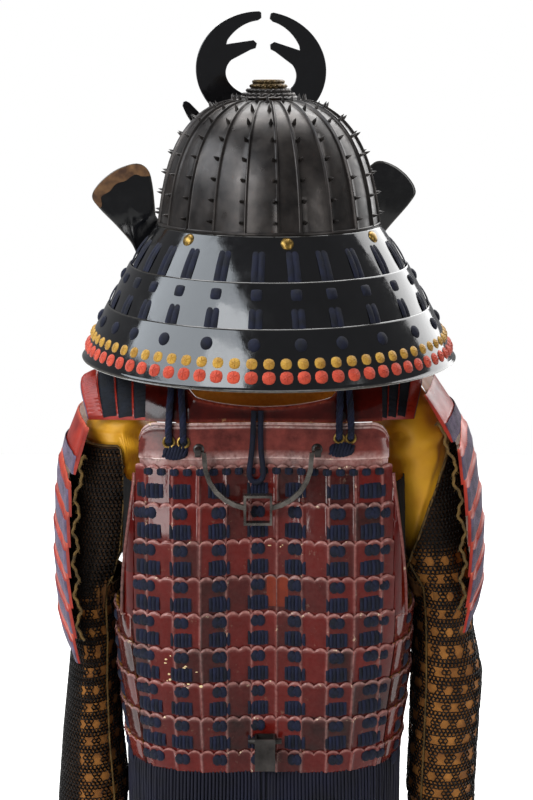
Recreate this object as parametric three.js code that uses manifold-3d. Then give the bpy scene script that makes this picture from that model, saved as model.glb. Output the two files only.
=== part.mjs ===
// Samurai armour: helmet, laced cuirass, shoulder guards, mail sleeves and tassets, as worn, with no wearer.
// Millimetres, +Z up, the wearer faces +Y and their right hand is towards +X.
// The suit is drawn about its chest and then lowered, so that the origin lies between the shoulder straps.
import * as THREE from "three";
import { mergeVertices } from "three/addons/utils/BufferGeometryUtils.js";
import Module from "manifold-3d";

const wasm = await Module();
wasm.setup();

const { clamp, lerp, degToRad } = THREE.MathUtils;
const V = (x, y, z) => new THREE.Vector3(x, y, z);

// Driving dimensions
const PLATE = 2; // thickness of a lacquered plate
const GAP = 0.35; // clearance between touching pieces
const STRAP_UNDERSIDE = 45; // height of the shoulder straps' underside in the drawing

const HELMET = { x: 4.4, y: 10, z: 178, yaw: degToRad(9.5) };
const BOWL = { halfWidth: 107, halfLength: 120, height: 118, roundness: 3, taper: 0.15, holeRadius: 15, collarDrop: 12 };
const RIDGE = { firstAngle: 5.65, step: 16.6, perSide: 11, height: 2.4, halfWidth: 1.2 };
const SPIKE = { perColumn: 6, length: 7, halfBase: 2, fromRidge: 4 };

const CUIRASS = { rows: 9, rowPitch: 36.15, firstRowTop: -40.5, hem: -354.5, overlap: 6, topStandOff: 4, lowStandOff: 0.8 };
const SCALLOP = { pitch: 12, depth: 3.2 };
const ARMHOLE_BOTTOM = CUIRASS.firstRowTop - 4.2 * CUIRASS.rowPitch;
const ARMHOLE_APEX = -58;

const SODE = { lames: 7, capHeight: 42, pitch: 31, overlap: 5, bend: 133, halfAngle: degToRad(34), centreY: -4 };
const SODE_TOP = { left: -4, right: 28 };
const TASSET = { count: 7, rows: 5, rowPitch: 42, top: -436, gapDegrees: 1.2 };
const WAIST_SIDES = 32;

// Body sections: half width, depth behind and before the middle, squareness of the back, depth of the spine groove.
const BODY = [
  { z: 44, halfWidth: 136, back: 66, front: 60, square: 5, spine: 0 },
  { z: 20, halfWidth: 140, back: 91, front: 84, square: 5, spine: 3 },
  { z: -40, halfWidth: 142, back: 105, front: 108, square: 5, spine: 8 },
  { z: -110, halfWidth: 144, back: 112, front: 118, square: 4.6, spine: 12 },
  { z: -190, halfWidth: 147, back: 112, front: 120, square: 4, spine: 12 },
  { z: -265, halfWidth: 146, back: 108, front: 117, square: 3.4, spine: 9 },
  { z: -355, halfWidth: 138, back: 102, front: 108, square: 3.1, spine: 5 },
  { z: -440, halfWidth: 138, back: 110, front: 116, square: 2.8, spine: 0 },
  { z: -660, halfWidth: 152, back: 138, front: 144, square: 2.5, spine: 0 },
];
const FRONT_SQUARE = 2.5;
const SPINE_HALF_WIDTH = 76;
// Half width of the back panel, whose side edges bound the armholes.
const BACK_PANEL = [
  { z: 0, half: 117 },
  { z: -75, half: 120 },
  { z: -215, half: 124 },
  { z: -355, half: 114 },
];

// Sleeve sections, from the shoulder to the wrist: centre, half width and half depth on each side.
const SLEEVE = [
  { z: 35, rightX: 129, rightHalf: 12, leftX: 128, leftHalf: 12, y: -3, halfDepth: 13 },
  { z: 22, rightX: 133, rightHalf: 19, leftX: 133, leftHalf: 19, y: -4, halfDepth: 26 },
  { z: 2, rightX: 140, rightHalf: 26, leftX: 138, leftHalf: 26, y: -5, halfDepth: 40 },
  { z: -30, rightX: 147, rightHalf: 39, leftX: 145, leftHalf: 38, y: -5, halfDepth: 53 },
  { z: -85, rightX: 156, rightHalf: 42, leftX: 154, leftHalf: 40, y: -5, halfDepth: 54 },
  { z: -140, rightX: 168, rightHalf: 34, leftX: 165, leftHalf: 30, y: -4, halfDepth: 50 },
  { z: -182, rightX: 183, rightHalf: 27, leftX: 178, leftHalf: 22, y: -2, halfDepth: 46 },
  { z: -235, rightX: 185, rightHalf: 27, leftX: 174, leftHalf: 19.5, y: 0, halfDepth: 44 },
  { z: -285, rightX: 190, rightHalf: 33, leftX: 177, leftHalf: 22, y: 0, halfDepth: 45 },
  { z: -350, rightX: 189, rightHalf: 32, leftX: 180, leftHalf: 27, y: 6, halfDepth: 42 },
  { z: -420, rightX: 188, rightHalf: 32, leftX: 181, leftHalf: 33, y: 14, halfDepth: 40 },
  { z: -500, rightX: 193, rightHalf: 30, leftX: 190, leftHalf: 31, y: 26, halfDepth: 35 },
  { z: -562, rightX: 196, rightHalf: 26, leftX: 194, leftHalf: 26, y: 36, halfDepth: 30 },
];
const MAIL = { top: -100, slant: 78, standOff: 2.4, wrist: -560 };
// The left arm's mail reaches higher behind, down to a narrow gap on the inside of the arm.
const LEFT_RIM = { high: -32, low: -177, from: degToRad(85), to: degToRad(125) };
const SHOULDER_CLOTH = { top: 35, underMail: 20, thickness: 1.5 };
// Soft folds that cross the shoulder cloth from the armpit: height, depth and how far each one rises outwards.
const CLOTH_FOLDS = [
  { z: -22, depth: 2.6, half: 6, rise: 8 },
  { z: -44, depth: 3.2, half: 7, rise: 10 },
  { z: -68, depth: 2.4, half: 7, rise: 6 },
  { z: -96, depth: 1.6, half: 9, rise: -6 },
];

const COLOURS = {
  iron: [0x2c2927, 0.45, 0.8],
  black: [0x141518, 0.12, 0.1],
  red: [0x6e1c14, 0.16, 0.05],
  vermilion: [0xb5372a, 0.3, 0.0],
  navy: [0x1c2740, 0.85, 0.0],
  ochre: [0xc08a1e, 0.55, 0.0],
  mail: [0x2a2320, 0.6, 0.5],
  brass: [0x9a7b3c, 0.35, 0.9],
};
const materials = Object.fromEntries(
  Object.entries(COLOURS).map(([name, [color, roughness, metalness]]) => [
    name,
    new THREE.MeshStandardMaterial({ color, roughness, metalness }),
  ]),
);

// Triangles collected into one closed skin.
class Skin {
  positions = [];

  triangle(a, b, c) {
    if (a.equals(b) || b.equals(c) || c.equals(a)) return;
    for (const p of [a, b, c]) this.positions.push(p.x, p.y, p.z);
  }

  quad(a, b, c, d) {
    this.triangle(a, b, c);
    this.triangle(a, c, d);
  }

  // Fills the strip between two lines that run the same way and may have different numbers of points.
  strip(a, b) {
    let i = 0;
    let j = 0;
    while (i < a.length - 1 || j < b.length - 1) {
      const nextA = (i + 1) / (a.length - 1);
      const nextB = (j + 1) / (b.length - 1);
      if (j === b.length - 1 || (i < a.length - 1 && nextA <= nextB)) {
        this.triangle(a[i], b[j], a[i + 1]);
        i += 1;
      } else {
        this.triangle(a[i], b[j], b[j + 1]);
        j += 1;
      }
    }
  }

  // Closes a loop of points, seen flat along its own normal.
  cap(loop) {
    const normal = V(0, 0, 0);
    loop.forEach((p, i) => normal.add(p.clone().cross(loop[(i + 1) % loop.length])));
    const along = loop[1].clone().sub(loop[0]).normalize();
    const across = normal.normalize().clone().cross(along);
    const flat = loop.map((p) => new THREE.Vector2(p.dot(along), p.dot(across)));
    const faces = THREE.ShapeUtils.triangulateShape(flat, []);
    const covered = faces.reduce((sum, face) => sum + THREE.ShapeUtils.area(face.map((i) => flat[i])), 0);
    const same = covered * THREE.ShapeUtils.area(flat) > 0;
    for (const [i, j, k] of faces) this.triangle(loop[i], loop[same ? j : k], loop[same ? k : j]);
  }

  // The skin as a geometry whose faces point out.
  geometry() {
    const p = this.positions;
    let volume = 0;
    for (let i = 0; i < p.length; i += 9) {
      const [a, b, c] = [0, 3, 6].map((k) => V(p[i + k], p[i + k + 1], p[i + k + 2]));
      volume += a.dot(b.cross(c));
    }
    if (volume < 0) {
      for (let i = 0; i < p.length; i += 9)
        for (let k = 0; k < 3; k += 1) [p[i + 3 + k], p[i + 6 + k]] = [p[i + 6 + k], p[i + 3 + k]];
    }
    return new THREE.BufferGeometry().setAttribute("position", new THREE.Float32BufferAttribute(p, 3));
  }
}

// A wall through lines that go round its section. Open lines are capped at both ends.
function wall(lines, { closed = false } = {}) {
  const skin = new Skin();
  lines.forEach((line, i) => skin.strip(line, lines[(i + 1) % lines.length]));
  if (!closed) {
    skin.cap(lines.map((line) => line[0]).reverse());
    skin.cap(lines.map((line) => line[line.length - 1]));
  }
  return skin.geometry();
}

function asManifold(geometry) {
  const bare = geometry.index ? geometry.toNonIndexed() : geometry.clone();
  for (const name of Object.keys(bare.attributes)) if (name !== "position") bare.deleteAttribute(name);
  const merged = mergeVertices(bare, 1e-4);
  return new wasm.Manifold(
    new wasm.Mesh({
      numProp: 3,
      vertProperties: merged.attributes.position.array,
      triVerts: new Uint32Array(merged.index.array),
    }),
  );
}

function asGeometry(manifold) {
  const mesh = manifold.getMesh();
  return new THREE.BufferGeometry()
    .setAttribute("position", new THREE.BufferAttribute(mesh.vertProperties, 3))
    .setIndex(new THREE.BufferAttribute(mesh.triVerts, 1))
    .toNonIndexed();
}

const join = (first, ...rest) => asGeometry(rest.reduce((sum, g) => sum.add(asManifold(g)), asManifold(first)));
const cut = (first, ...rest) => asGeometry(rest.reduce((left, g) => left.subtract(asManifold(g)), asManifold(first)));

// Value of a column of a table whose rows run down in z.
function fromTable(table, column, z) {
  if (z >= table[0].z) return table[0][column];
  for (let i = 1; i < table.length; i += 1) {
    const [above, below] = [table[i - 1], table[i]];
    if (z >= below.z) return lerp(above[column], below[column], (above.z - z) / (above.z - below.z));
  }
  return table[table.length - 1][column];
}

const range = (count, each) => Array.from({ length: count + 1 }, (_, i) => each(i / count, i));
const signedPower = (value, power) => Math.sign(value) * Math.abs(value) ** power;

// The body's outline at a height. The angle is 0 at the spine, 90 degrees at the wearer's right and 180 in front.
function bodyOutline(angle, z) {
  const behind = Math.cos(angle) > 0;
  const power = 2 / (behind ? fromTable(BODY, "square", z) : FRONT_SQUARE);
  const x = fromTable(BODY, "halfWidth", z) * signedPower(Math.sin(angle), power);
  const depth = fromTable(BODY, behind ? "back" : "front", z);
  let y = -depth * signedPower(Math.cos(angle), power);
  if (behind && Math.abs(x) < SPINE_HALF_WIDTH)
    y += (fromTable(BODY, "spine", z) * (1 + Math.cos((Math.PI * x) / SPINE_HALF_WIDTH))) / 2;
  return new THREE.Vector2(x, y);
}

// A point stood off the body's outline along its horizontal normal.
function bodyPoint(angle, z, standOff = 0) {
  const step = 0.01;
  const here = bodyOutline(angle, z);
  const along = bodyOutline(angle + step, z).sub(bodyOutline(angle - step, z)).normalize();
  return V(here.x + along.y * standOff, here.y - along.x * standOff, z);
}

// Angles that cut the outline at a height into equal lengths.
function evenAngles(z, from, to, count) {
  const fine = 240;
  const angles = range(fine, (t) => lerp(from, to, t));
  const lengths = [0];
  for (let i = 1; i <= fine; i += 1)
    lengths.push(lengths[i - 1] + bodyOutline(angles[i], z).distanceTo(bodyOutline(angles[i - 1], z)));
  return range(count, (t) => {
    const target = t * lengths[fine];
    const i = clamp(lengths.findIndex((s) => s >= target), 1, fine);
    return lerp(angles[i - 1], angles[i], (target - lengths[i - 1]) / (lengths[i] - lengths[i - 1]));
  });
}

// The angle at which the outline reaches a given half width behind the body.
function backAngle(halfWidth, z) {
  const share = halfWidth / fromTable(BODY, "halfWidth", z);
  return Math.asin(share ** (fromTable(BODY, "square", z) / 2));
}

// A point on the back at a distance to the side and a height.
const backPoint = (x, z, standOff) => bodyPoint(Math.sign(x) * backAngle(Math.abs(x), z), z, standOff);

const root = new THREE.Group();
const suit = new THREE.Group();
suit.position.z = -STRAP_UNDERSIDE;
root.add(suit);

const helmet = new THREE.Group();
helmet.position.set(HELMET.x, HELMET.y, HELMET.z);
helmet.rotation.z = HELMET.yaw;
suit.add(helmet);

function addPiece(parent, name, geometry, material) {
  const mesh = new THREE.Mesh(geometry, materials[material]);
  mesh.name = name;
  parent.add(mesh);
  return mesh;
}

// HELMET BOWL: iron plates with standing ridges and pointed rivets, open at the crown

// Section of the bowl by distance up its side: share of the plan's size, and height.
const bowlSide = (() => {
  const fine = 300;
  const lowestShare = BOWL.holeRadius / BOWL.halfWidth;
  const points = range(fine, (t) => {
    const angle = (t * Math.PI) / 2;
    const rise = Math.sin(angle) ** (2 / BOWL.roundness);
    const share = Math.cos(angle) ** (2 / BOWL.roundness) * (1 - BOWL.taper * rise);
    return new THREE.Vector2(share, BOWL.height * rise);
  }).filter((p) => p.x >= lowestShare);
  const lengths = [0];
  for (let i = 1; i < points.length; i += 1) {
    const across = (points[i].x - points[i - 1].x) * BOWL.halfWidth;
    lengths.push(lengths[i - 1] + Math.hypot(across, points[i].y - points[i - 1].y));
  }
  const total = lengths[lengths.length - 1];
  return { total, at: (s) => {
    const i = clamp(lengths.findIndex((length) => length >= s), 1, points.length - 1);
    return points[i - 1].clone().lerp(points[i], clamp((s - lengths[i - 1]) / (lengths[i] - lengths[i - 1]), 0, 1));
  } };
})();

// A point on the bowl, at an angle in degrees from its back and a distance up its side.
function bowlPoint(degrees, s, standOff = 0) {
  const angle = degToRad(degrees);
  const step = 1;
  const [low, high] = [bowlSide.at(Math.max(s - step, 0)), bowlSide.at(Math.min(s + step, bowlSide.total))];
  const rise = Math.atan2(high.y - low.y, (low.x - high.x) * BOWL.halfWidth);
  const { x: share, y: height } = bowlSide.at(s);
  const out = standOff * Math.sin(rise);
  return V(
    (BOWL.halfWidth * share + out) * Math.sin(angle),
    -(BOWL.halfLength * share + out) * Math.cos(angle),
    height + standOff * Math.cos(rise),
  );
}

function bowlGeometry() {
  const skin = new Skin();
  const rowCount = SPIKE.perColumn + 1;
  const rows = range(rowCount, (t) => t * bowlSide.total);
  const ridges = [];
  for (let k = 0; k < RIDGE.perSide; k += 1) ridges.push(RIDGE.firstAngle + k * RIDGE.step);
  const angles = [...ridges.map((a) => -a).reverse(), ...ridges];
  const degreesFor = (length, s) => (length / (BOWL.halfWidth * bowlSide.at(s).x)) * (180 / Math.PI);
  const foot = (ridge, s, side) => ridge + side * degreesFor(RIDGE.halfWidth, s);
  const ridgeHeight = (row) => (row === rowCount ? 0.3 : RIDGE.height);

  // One plate between two angles that may depend on the height, with a spike in each row beside one edge.
  function plate(leftEdge, rightEdge, spikeAngle) {
    for (let j = 0; j < rowCount; j += 1) {
      const [low, high] = [rows[j], rows[j + 1]];
      const corners = [
        bowlPoint(leftEdge(low), low),
        bowlPoint(rightEdge(low), low),
        bowlPoint(rightEdge(high), high),
        bowlPoint(leftEdge(high), high),
      ];
      const middle = (low + high) / 2;
      const centre = spikeAngle?.(middle);
      const half = degreesFor(SPIKE.halfBase, middle);
      const fits = spikeAngle && j < SPIKE.perColumn && centre - half > leftEdge(middle) && centre + half < rightEdge(middle);
      if (!fits) {
        skin.quad(...corners);
        continue;
      }
      const base = [
        bowlPoint(centre - half, middle - SPIKE.halfBase),
        bowlPoint(centre + half, middle - SPIKE.halfBase),
        bowlPoint(centre + half, middle + SPIKE.halfBase),
        bowlPoint(centre - half, middle + SPIKE.halfBase),
      ];
      const tip = bowlPoint(centre, middle, SPIKE.length);
      for (let c = 0; c < 4; c += 1) {
        const next = (c + 1) % 4;
        skin.quad(corners[c], corners[next], base[next], base[c]);
        skin.triangle(base[c], base[next], tip);
      }
    }
  }

  // The plates and ridges in turn from the front, round the left, back and right, to the front again.
  const lowLine = [];
  const highLine = [];
  const note = (degrees, onRidge = false) => {
    lowLine.push(bowlPoint(degrees(rows[0]), rows[0], onRidge ? ridgeHeight(0) : 0));
    highLine.push(bowlPoint(degrees(rows[rowCount]), rows[rowCount], onRidge ? ridgeHeight(rowCount) : 0));
  };
  let edge = () => -180;
  note(edge);
  for (const [i, ridge] of angles.entries()) {
    const near = (s) => foot(ridge, s, -1);
    const far = (s) => foot(ridge, s, 1);
    const spikeLeft = ridge < 0 ? (s) => ridge - degreesFor(SPIKE.fromRidge, s) : null;
    const previous = angles[i - 1];
    const spikeRight = previous > 0 ? (s) => previous + degreesFor(SPIKE.fromRidge, s) : null;
    plate(edge, near, spikeLeft ?? spikeRight);
    for (let j = 0; j < rowCount; j += 1) {
      const [low, high] = [rows[j], rows[j + 1]];
      const crest = [bowlPoint(ridge, low, ridgeHeight(j)), bowlPoint(ridge, high, ridgeHeight(j + 1))];
      skin.quad(bowlPoint(near(low), low), crest[0], crest[1], bowlPoint(near(high), high));
      skin.quad(crest[0], bowlPoint(far(low), low), bowlPoint(far(high), high), crest[1]);
    }
    note(near);
    note(() => ridge, true);
    note(far);
    edge = far;
  }
  const last = angles[angles.length - 1];
  plate(edge, () => 180, (s) => last + degreesFor(SPIKE.fromRidge, s));
  note(() => 180);

  // The rim's flange, the collar inside the neck guard, and the plain inside.
  const around = 32;
  const ringLine = (grow, z) =>
    range(around, (t) => {
      const angle = lerp(-Math.PI, Math.PI, t);
      return V((BOWL.halfWidth + grow) * Math.sin(angle), -(BOWL.halfLength + grow) * Math.cos(angle), z);
    });
  const insideLine = (s) => range(around, (t) => bowlPoint(lerp(-180, 180, t), s, -PLATE));
  const flange = RIDGE.height + 0.4;
  const lines = [
    lowLine,
    ringLine(flange, 0),
    ringLine(flange, -1.6),
    ringLine(-0.6, -1.6),
    ringLine(-0.6, -BOWL.collarDrop),
    ringLine(-0.6 - PLATE, -BOWL.collarDrop),
    ...[0, 0.25, 0.5, 0.75, 1].map((t) => insideLine(t * bowlSide.total)),
    highLine,
  ];
  for (let i = 0; i < lines.length - 1; i += 1) skin.strip(lines[i], lines[i + 1]);
  return skin.geometry();
}

// Stacked rings round the hole in the crown.
function crownGeometry() {
  const seat = BOWL.height + 0.75;
  const profile = [
    [11, 0.9],
    [27.3, -0.2],
    [27.3, 1.5],
    [23.6, 2.2],
    [24.4, 4.2],
    [19.2, 6.2],
    [20, 8.6],
    [16.2, 10.4],
    [16.8, 13],
    [14.4, 14.2],
    [15, 17],
    [13.2, 17.8],
    [11, 17],
  ].map(([radius, rise]) => new THREE.Vector2(radius, seat + rise));
  profile.push(profile[0].clone());
  return new THREE.LatheGeometry(profile, 20).rotateX(Math.PI / 2);
}

// A point on the neck guard's plan, at an angle from the back of the helmet.
const guardPoint = (angle, halfWidth, z) => V(halfWidth * Math.sin(angle), -(halfWidth + 13) * Math.cos(angle), z);

// Neck guard lames: half width and height at the upper and lower edges, and where the front ends are.
const NECK_LAMES = [
  { top: -2.2, topHalf: 109.4, bottom: -48, bottomHalf: 137.6, end: 115.5 },
  { top: -41, topHalf: 137.2, bottom: -87, bottomHalf: 159.6, end: 113 },
  { top: -80, topHalf: 159.3, bottom: -132, bottomHalf: 184.2, end: 105 },
];
const STUDS = { count: 42, upper: -109, lower: -120, half: 5.3, height: 1.6 };

function neckLameGeometry({ top, topHalf, bottom, bottomHalf, end }, studded) {
  const columns = studded ? STUDS.count : 26;
  const reach = degToRad(end);
  const outerHalf = (z) => lerp(topHalf, bottomHalf, (top - z) / (top - bottom));
  const line = (z, grow, count) => range(count, (t) => guardPoint(lerp(-reach, reach, t), outerHalf(z) + grow, z));
  const inside = [line(bottom, -PLATE, 26), line(top, -PLATE, 26)];
  if (!studded) return wall([line(top, 0, columns), line(bottom, 0, columns), ...inside]);

  // The lowest lame carries two rows of low hexagonal knots, raised in its outer face.
  const skin = new Skin();
  const middle = (STUDS.upper + STUDS.lower) / 2;
  const levels = [top, STUDS.upper * 2 - middle, middle, STUDS.lower * 2 - middle, bottom];
  const outer = levels.map((z, i) => line(z, [0, 0.4, 0.5, 0.4, 0][i], columns));
  [1, 2].forEach((row) => {
    for (let i = 0; i < columns; i += 1) {
      const corners = [outer[row][i], outer[row + 1][i], outer[row + 1][i + 1], outer[row][i + 1]];
      const centreZ = (levels[row] + levels[row + 1]) / 2;
      const centreAngle = lerp(-reach, reach, (i + 0.5) / columns);
      const onFace = (across, up, grow) => {
        const z = centreZ + up;
        return guardPoint(centreAngle + across / outerHalf(centreZ), outerHalf(z) + grow, z);
      };
      const hexagon = range(5, (_, k) => {
        const turn = (k * Math.PI) / 3 + Math.PI / 2;
        return onFace(STUDS.half * Math.cos(turn), STUDS.half * 0.86 * Math.sin(turn), 0.5);
      });
      const tip = onFace(0, 0, STUDS.height);
      // The six sides are shared out among the cell's corners: left, bottom, right and top.
      const sideCorners = [0, 0, 1, 2, 2, 3];
      hexagon.forEach((p, k) => {
        const q = hexagon[(k + 1) % 6];
        skin.triangle(p, q, tip);
        const corner = corners[sideCorners[k]];
        const nextCorner = corners[sideCorners[(k + 1) % 6]];
        skin.triangle(q, p, corner);
        skin.triangle(corner, nextCorner, q);
      });
    }
  });
  skin.strip(outer[0], outer[1]);
  skin.strip(outer[3], outer[4]);
  skin.strip(outer[4], inside[0]);
  skin.strip(inside[0], inside[1]);
  skin.strip(inside[1], outer[0]);
  const ring = (pick) => [...outer.map(pick), ...inside.map(pick)];
  skin.cap(ring((l) => l[0]).reverse());
  skin.cap(ring((l) => l[l.length - 1]));
  return skin.geometry();
}

// The peak over the brow.
function peakGeometry() {
  const { reach, depth, drop, thickness } = { reach: degToRad(53), depth: 36, drop: 13, thickness: 2.2 };
  const inner = BOWL.halfWidth;
  const line = (share, low) =>
    range(16, (t) => {
      const off = lerp(-reach, reach, t);
      const width = depth * share * Math.cos((off / reach) * (Math.PI / 2) * 0.82);
      const radius = inner + width;
      const z = -3.4 - (drop * width) / depth - low;
      return V(radius * Math.sin(off), (radius + 13) * Math.cos(off), z);
    });
  return wall([line(0, 0), line(0.5, -1.5), line(1, 0), line(1, thickness), line(0.5, thickness - 1.5), line(0, thickness)]);
}

// A turned-back wing, an upright rounded plate just before the front end of the upper lame.
function wingGeometry(side) {
  const shape = new THREE.Shape();
  shape.moveTo(102, -4);
  shape.lineTo(116, -38);
  shape.quadraticCurveTo(124, -43, 134, -24);
  shape.lineTo(166, 10);
  shape.quadraticCurveTo(178, 22, 164, 36);
  shape.quadraticCurveTo(146, 52, 126, 54);
  shape.quadraticCurveTo(112, 50, 109, 32);
  shape.lineTo(106, 2);
  shape.closePath();
  const flat = new THREE.ExtrudeGeometry(shape, { depth: PLATE, bevelEnabled: false, curveSegments: 6 });
  const p = flat.attributes.position;
  for (let i = 0; i < p.count; i += 1) {
    const [out, up] = [(p.getX(i) - 104) / 70, p.getY(i) + 2.2];
    const back = 52.95 - (up < 0 ? 0.266 : 0.1) * up + 6 * Math.max(out, 0);
    p.setXYZ(i, p.getX(i), back + PLATE - p.getZ(i), p.getY(i));
  }
  return asGeometry(asManifold(flat).scale([-side, 1, 1]));
}

// CREST: a pair of crab claws, each with two fingers, on a stem with two short legs

const CREST = { x: 5, y: 134.5, z: 22, lean: degToRad(4.7), centre: 122, thickness: 2.4 };

function crestShape() {
  const onEllipse = (halfWidth, halfHeight, centre, degrees) => {
    const angle = degToRad(degrees);
    return [halfWidth * Math.cos(angle), centre + halfHeight * Math.sin(angle)];
  };
  const arc = (halfWidth, halfHeight, centre, from, to, count) =>
    range(count, (t) => onEllipse(halfWidth, halfHeight, centre, lerp(from, to, t)));
  const centre = CREST.centre;
  const half = [
    ...arc(37.5, 24, centre - 4, -90, 30, 8),
    [13, centre + 20],
    [8, centre + 22],
    [7, centre + 27],
    [11, centre + 30],
    [39, centre + 23.5],
    ...arc(45.5, 51, centre, 33, 80, 5),
    [4.5, centre + 53],
    [5, centre + 58.5],
    ...arc(69, 60, centre, 84, -46, 13),
    [58, centre - 52],
    [73, centre - 39],
    [79, centre - 38],
    [80, centre - 43],
    [66, centre - 64],
    [30, centre - 82],
    [11, centre - 100],
    [11, 0],
  ];
  const left = half.slice(1).map(([x, y]) => [-x, y]);
  return new THREE.Shape([...left.reverse(), ...half].map(([x, y]) => new THREE.Vector2(x, y)));
}

function crestGeometry() {
  return new THREE.ExtrudeGeometry(crestShape(), { depth: CREST.thickness, bevelEnabled: false }).rotateX(Math.PI / 2);
}

// The socket that holds the crest's stem: a flat sheath on a foot that stands on the peak.
function crestHolderGeometry() {
  const sheath = new THREE.BoxGeometry(30, 7.4, 26).translate(0, -CREST.thickness / 2, 6);
  const slot = new THREE.BoxGeometry(22 + 2 * GAP, CREST.thickness + 2 * GAP, 40).translate(0, -CREST.thickness / 2, 20 - GAP);
  const foot = new THREE.BoxGeometry(20, 5, 22).translate(0, -CREST.thickness / 2, -16.5);
  return cut(join(sheath, foot), slot);
}

addPiece(helmet, "helmet_bowl", bowlGeometry(), "iron");
addPiece(helmet, "crown_fitting", crownGeometry(), "iron");
NECK_LAMES.forEach((lame, i) =>
  addPiece(helmet, `neck_guard_lame_${i + 1}`, neckLameGeometry(lame, i === NECK_LAMES.length - 1), "black"),
);
addPiece(helmet, "helmet_peak", peakGeometry(), "black");
addPiece(helmet, "wing_left", wingGeometry(1), "black");
addPiece(helmet, "wing_right", wingGeometry(-1), "black");
const crest = new THREE.Group();
crest.position.set(CREST.x, CREST.y, CREST.z);
crest.rotation.y = CREST.lean;
helmet.add(crest);
addPiece(crest, "crest", crestGeometry(), "black");
addPiece(crest, "crest_holder", crestHolderGeometry(), "black");

// CUIRASS: scalloped back lames, front shell, breastplate top, yoke and straps

const panelHalf = (z) => fromTable(BACK_PANEL, "half", z);

// A line across the back, evenly spaced along the body, with its height given for each point.
function backLine(z, standOff, count, heightAt = () => z) {
  const edge = backAngle(panelHalf(z), z);
  return evenAngles(z, -edge, edge, count).map((angle, i) => bodyPoint(angle, heightAt(i), standOff));
}

function backLameGeometry(row) {
  const top = CUIRASS.firstRowTop - row * CUIRASS.rowPitch;
  const isLast = row === CUIRASS.rows - 1;
  const bottom = isLast ? CUIRASS.hem : top - CUIRASS.rowPitch - CUIRASS.overlap;
  const scallops = Math.round((2 * panelHalf(top)) / SCALLOP.pitch);
  const coarse = 14;
  const scalloped = (i) => top - (i % 2 === 0 ? SCALLOP.depth : 0);
  return wall([
    backLine(top, CUIRASS.topStandOff, scallops * 2, scalloped),
    backLine(bottom, CUIRASS.lowStandOff, coarse),
    backLine(bottom, CUIRASS.lowStandOff - PLATE, coarse),
    backLine(top, CUIRASS.topStandOff - PLATE, coarse, () => top - SCALLOP.depth),
  ]);
}

const HINGE = { left: -61.5, right: 50.5, y: -117, z: -25.5, pinRadius: 1.7, play: 0.4 };

// The top back plate, with rounded upper corners, a low step above the lames, and the bracket's two hinge lugs.
function backPlateGeometry() {
  const { top, step, bottom, corner } = { top: -1.6, step: -35, bottom: -46, corner: 16 };
  const columns = 20;
  const upper = (z) => {
    const half = panelHalf(z);
    return (i) => {
      const x = Math.abs(lerp(-half, half, i / columns));
      const into = clamp((x - (half - corner)) / corner, 0, 1);
      return z - corner * (1 - Math.sqrt(1 - into * into * 0.98));
    };
  };
  const plate = wall([
    backLine(top, 3, columns, upper(top)),
    backLine(step, 3.4, columns),
    backLine(step, 1.2, columns),
    backLine(bottom, 1.2, columns),
    backLine(bottom, 1.2 - PLATE, columns),
    backLine(top, 1, columns, upper(top)),
  ]);
  const lug = (x) => {
    const inward = 14;
    const barrel = new THREE.CylinderGeometry(4.4, 4.4, 6, 12).rotateZ(Math.PI / 2).translate(x, HINGE.y, HINGE.z);
    const stalk = new THREE.BoxGeometry(5, inward, 6).translate(x, HINGE.y + inward / 2, HINGE.z);
    return [barrel, stalk];
  };
  const bore = (x) =>
    new THREE.CylinderGeometry(HINGE.pinRadius + HINGE.play, HINGE.pinRadius + HINGE.play, 30, 12)
      .rotateZ(Math.PI / 2)
      .translate(x, HINGE.y, HINGE.z);
  return cut(join(plate, ...lug(HINGE.left), ...lug(HINGE.right)), bore(HINGE.left), bore(HINGE.right));
}

// The yoke above it: its upper edge is the neck's curve in the middle and rises to the straps at the sides.
const YOKE = { half: 111, neckHalf: 64, neckLow: 13, neckRise: 9, strapTop: 33.6 };

function yokeGeometry() {
  const bottom = -0.8;
  const columns = 26;
  const upper = (i) => {
    const x = Math.abs(lerp(-YOKE.half, YOKE.half, i / columns));
    if (x < YOKE.neckHalf) return YOKE.neckLow + YOKE.neckRise * (x / YOKE.neckHalf) ** 2;
    const rise = clamp((x - YOKE.neckHalf) / 12, 0, 1);
    return lerp(YOKE.neckLow + YOKE.neckRise, YOKE.strapTop, rise);
  };
  const line = (standOff, heightAt) =>
    range(columns, (t, i) => {
      const z = heightAt(i);
      const x = lerp(-YOKE.half, YOKE.half, t);
      return backPoint(x, z, standOff);
    });
  const low = () => bottom;
  return wall([line(3.2, upper), line(3.2, low), line(3.2 - PLATE, low), line(3.2 - PLATE, upper)]);
}

// A shoulder strap, from the yoke over the shoulder to the breast.
function strapGeometry(side) {
  const path = [
    { y: -78.5, z: 37.6 },
    { y: -62, z: 43 },
    { y: -38, z: 47.5 },
    { y: -8, z: 49 },
    { y: 22, z: 46.5 },
    { y: 52, z: 36 },
    { y: 74, z: 20 },
    { y: 90, z: 0 },
    { y: 101, z: -17 },
  ];
  const curve = new THREE.CatmullRomCurve3(path.map((p) => V(0, p.y, p.z)));
  const thickness = 3.5;
  const steps = 14;
  const line = (x, depth) =>
    range(steps, (t) => {
      const p = curve.getPoint(t);
      const along = curve.getTangent(t);
      return V(side * x, p.y + along.z * depth, p.z - along.y * depth);
    });
  const [inner, outer] = [66, 109];
  return wall([line(inner, 0), line((inner + outer) / 2, -2.4), line(outer, 0), line(outer, thickness), line(inner, thickness)]);
}

// A stepped wall of rows that overlap upwards, made through lines on the body between two angles.
function steppedLines(tops, bottom, standOffs, lineAt) {
  const lines = [];
  tops.forEach((top, i) => {
    lines.push(lineAt(top, standOffs.high));
    lines.push(lineAt(i + 1 < tops.length ? tops[i + 1] : bottom, standOffs.low));
  });
  lines.push(lineAt(bottom, standOffs.inside), lineAt(tops[0], standOffs.inside));
  return lines;
}

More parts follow.
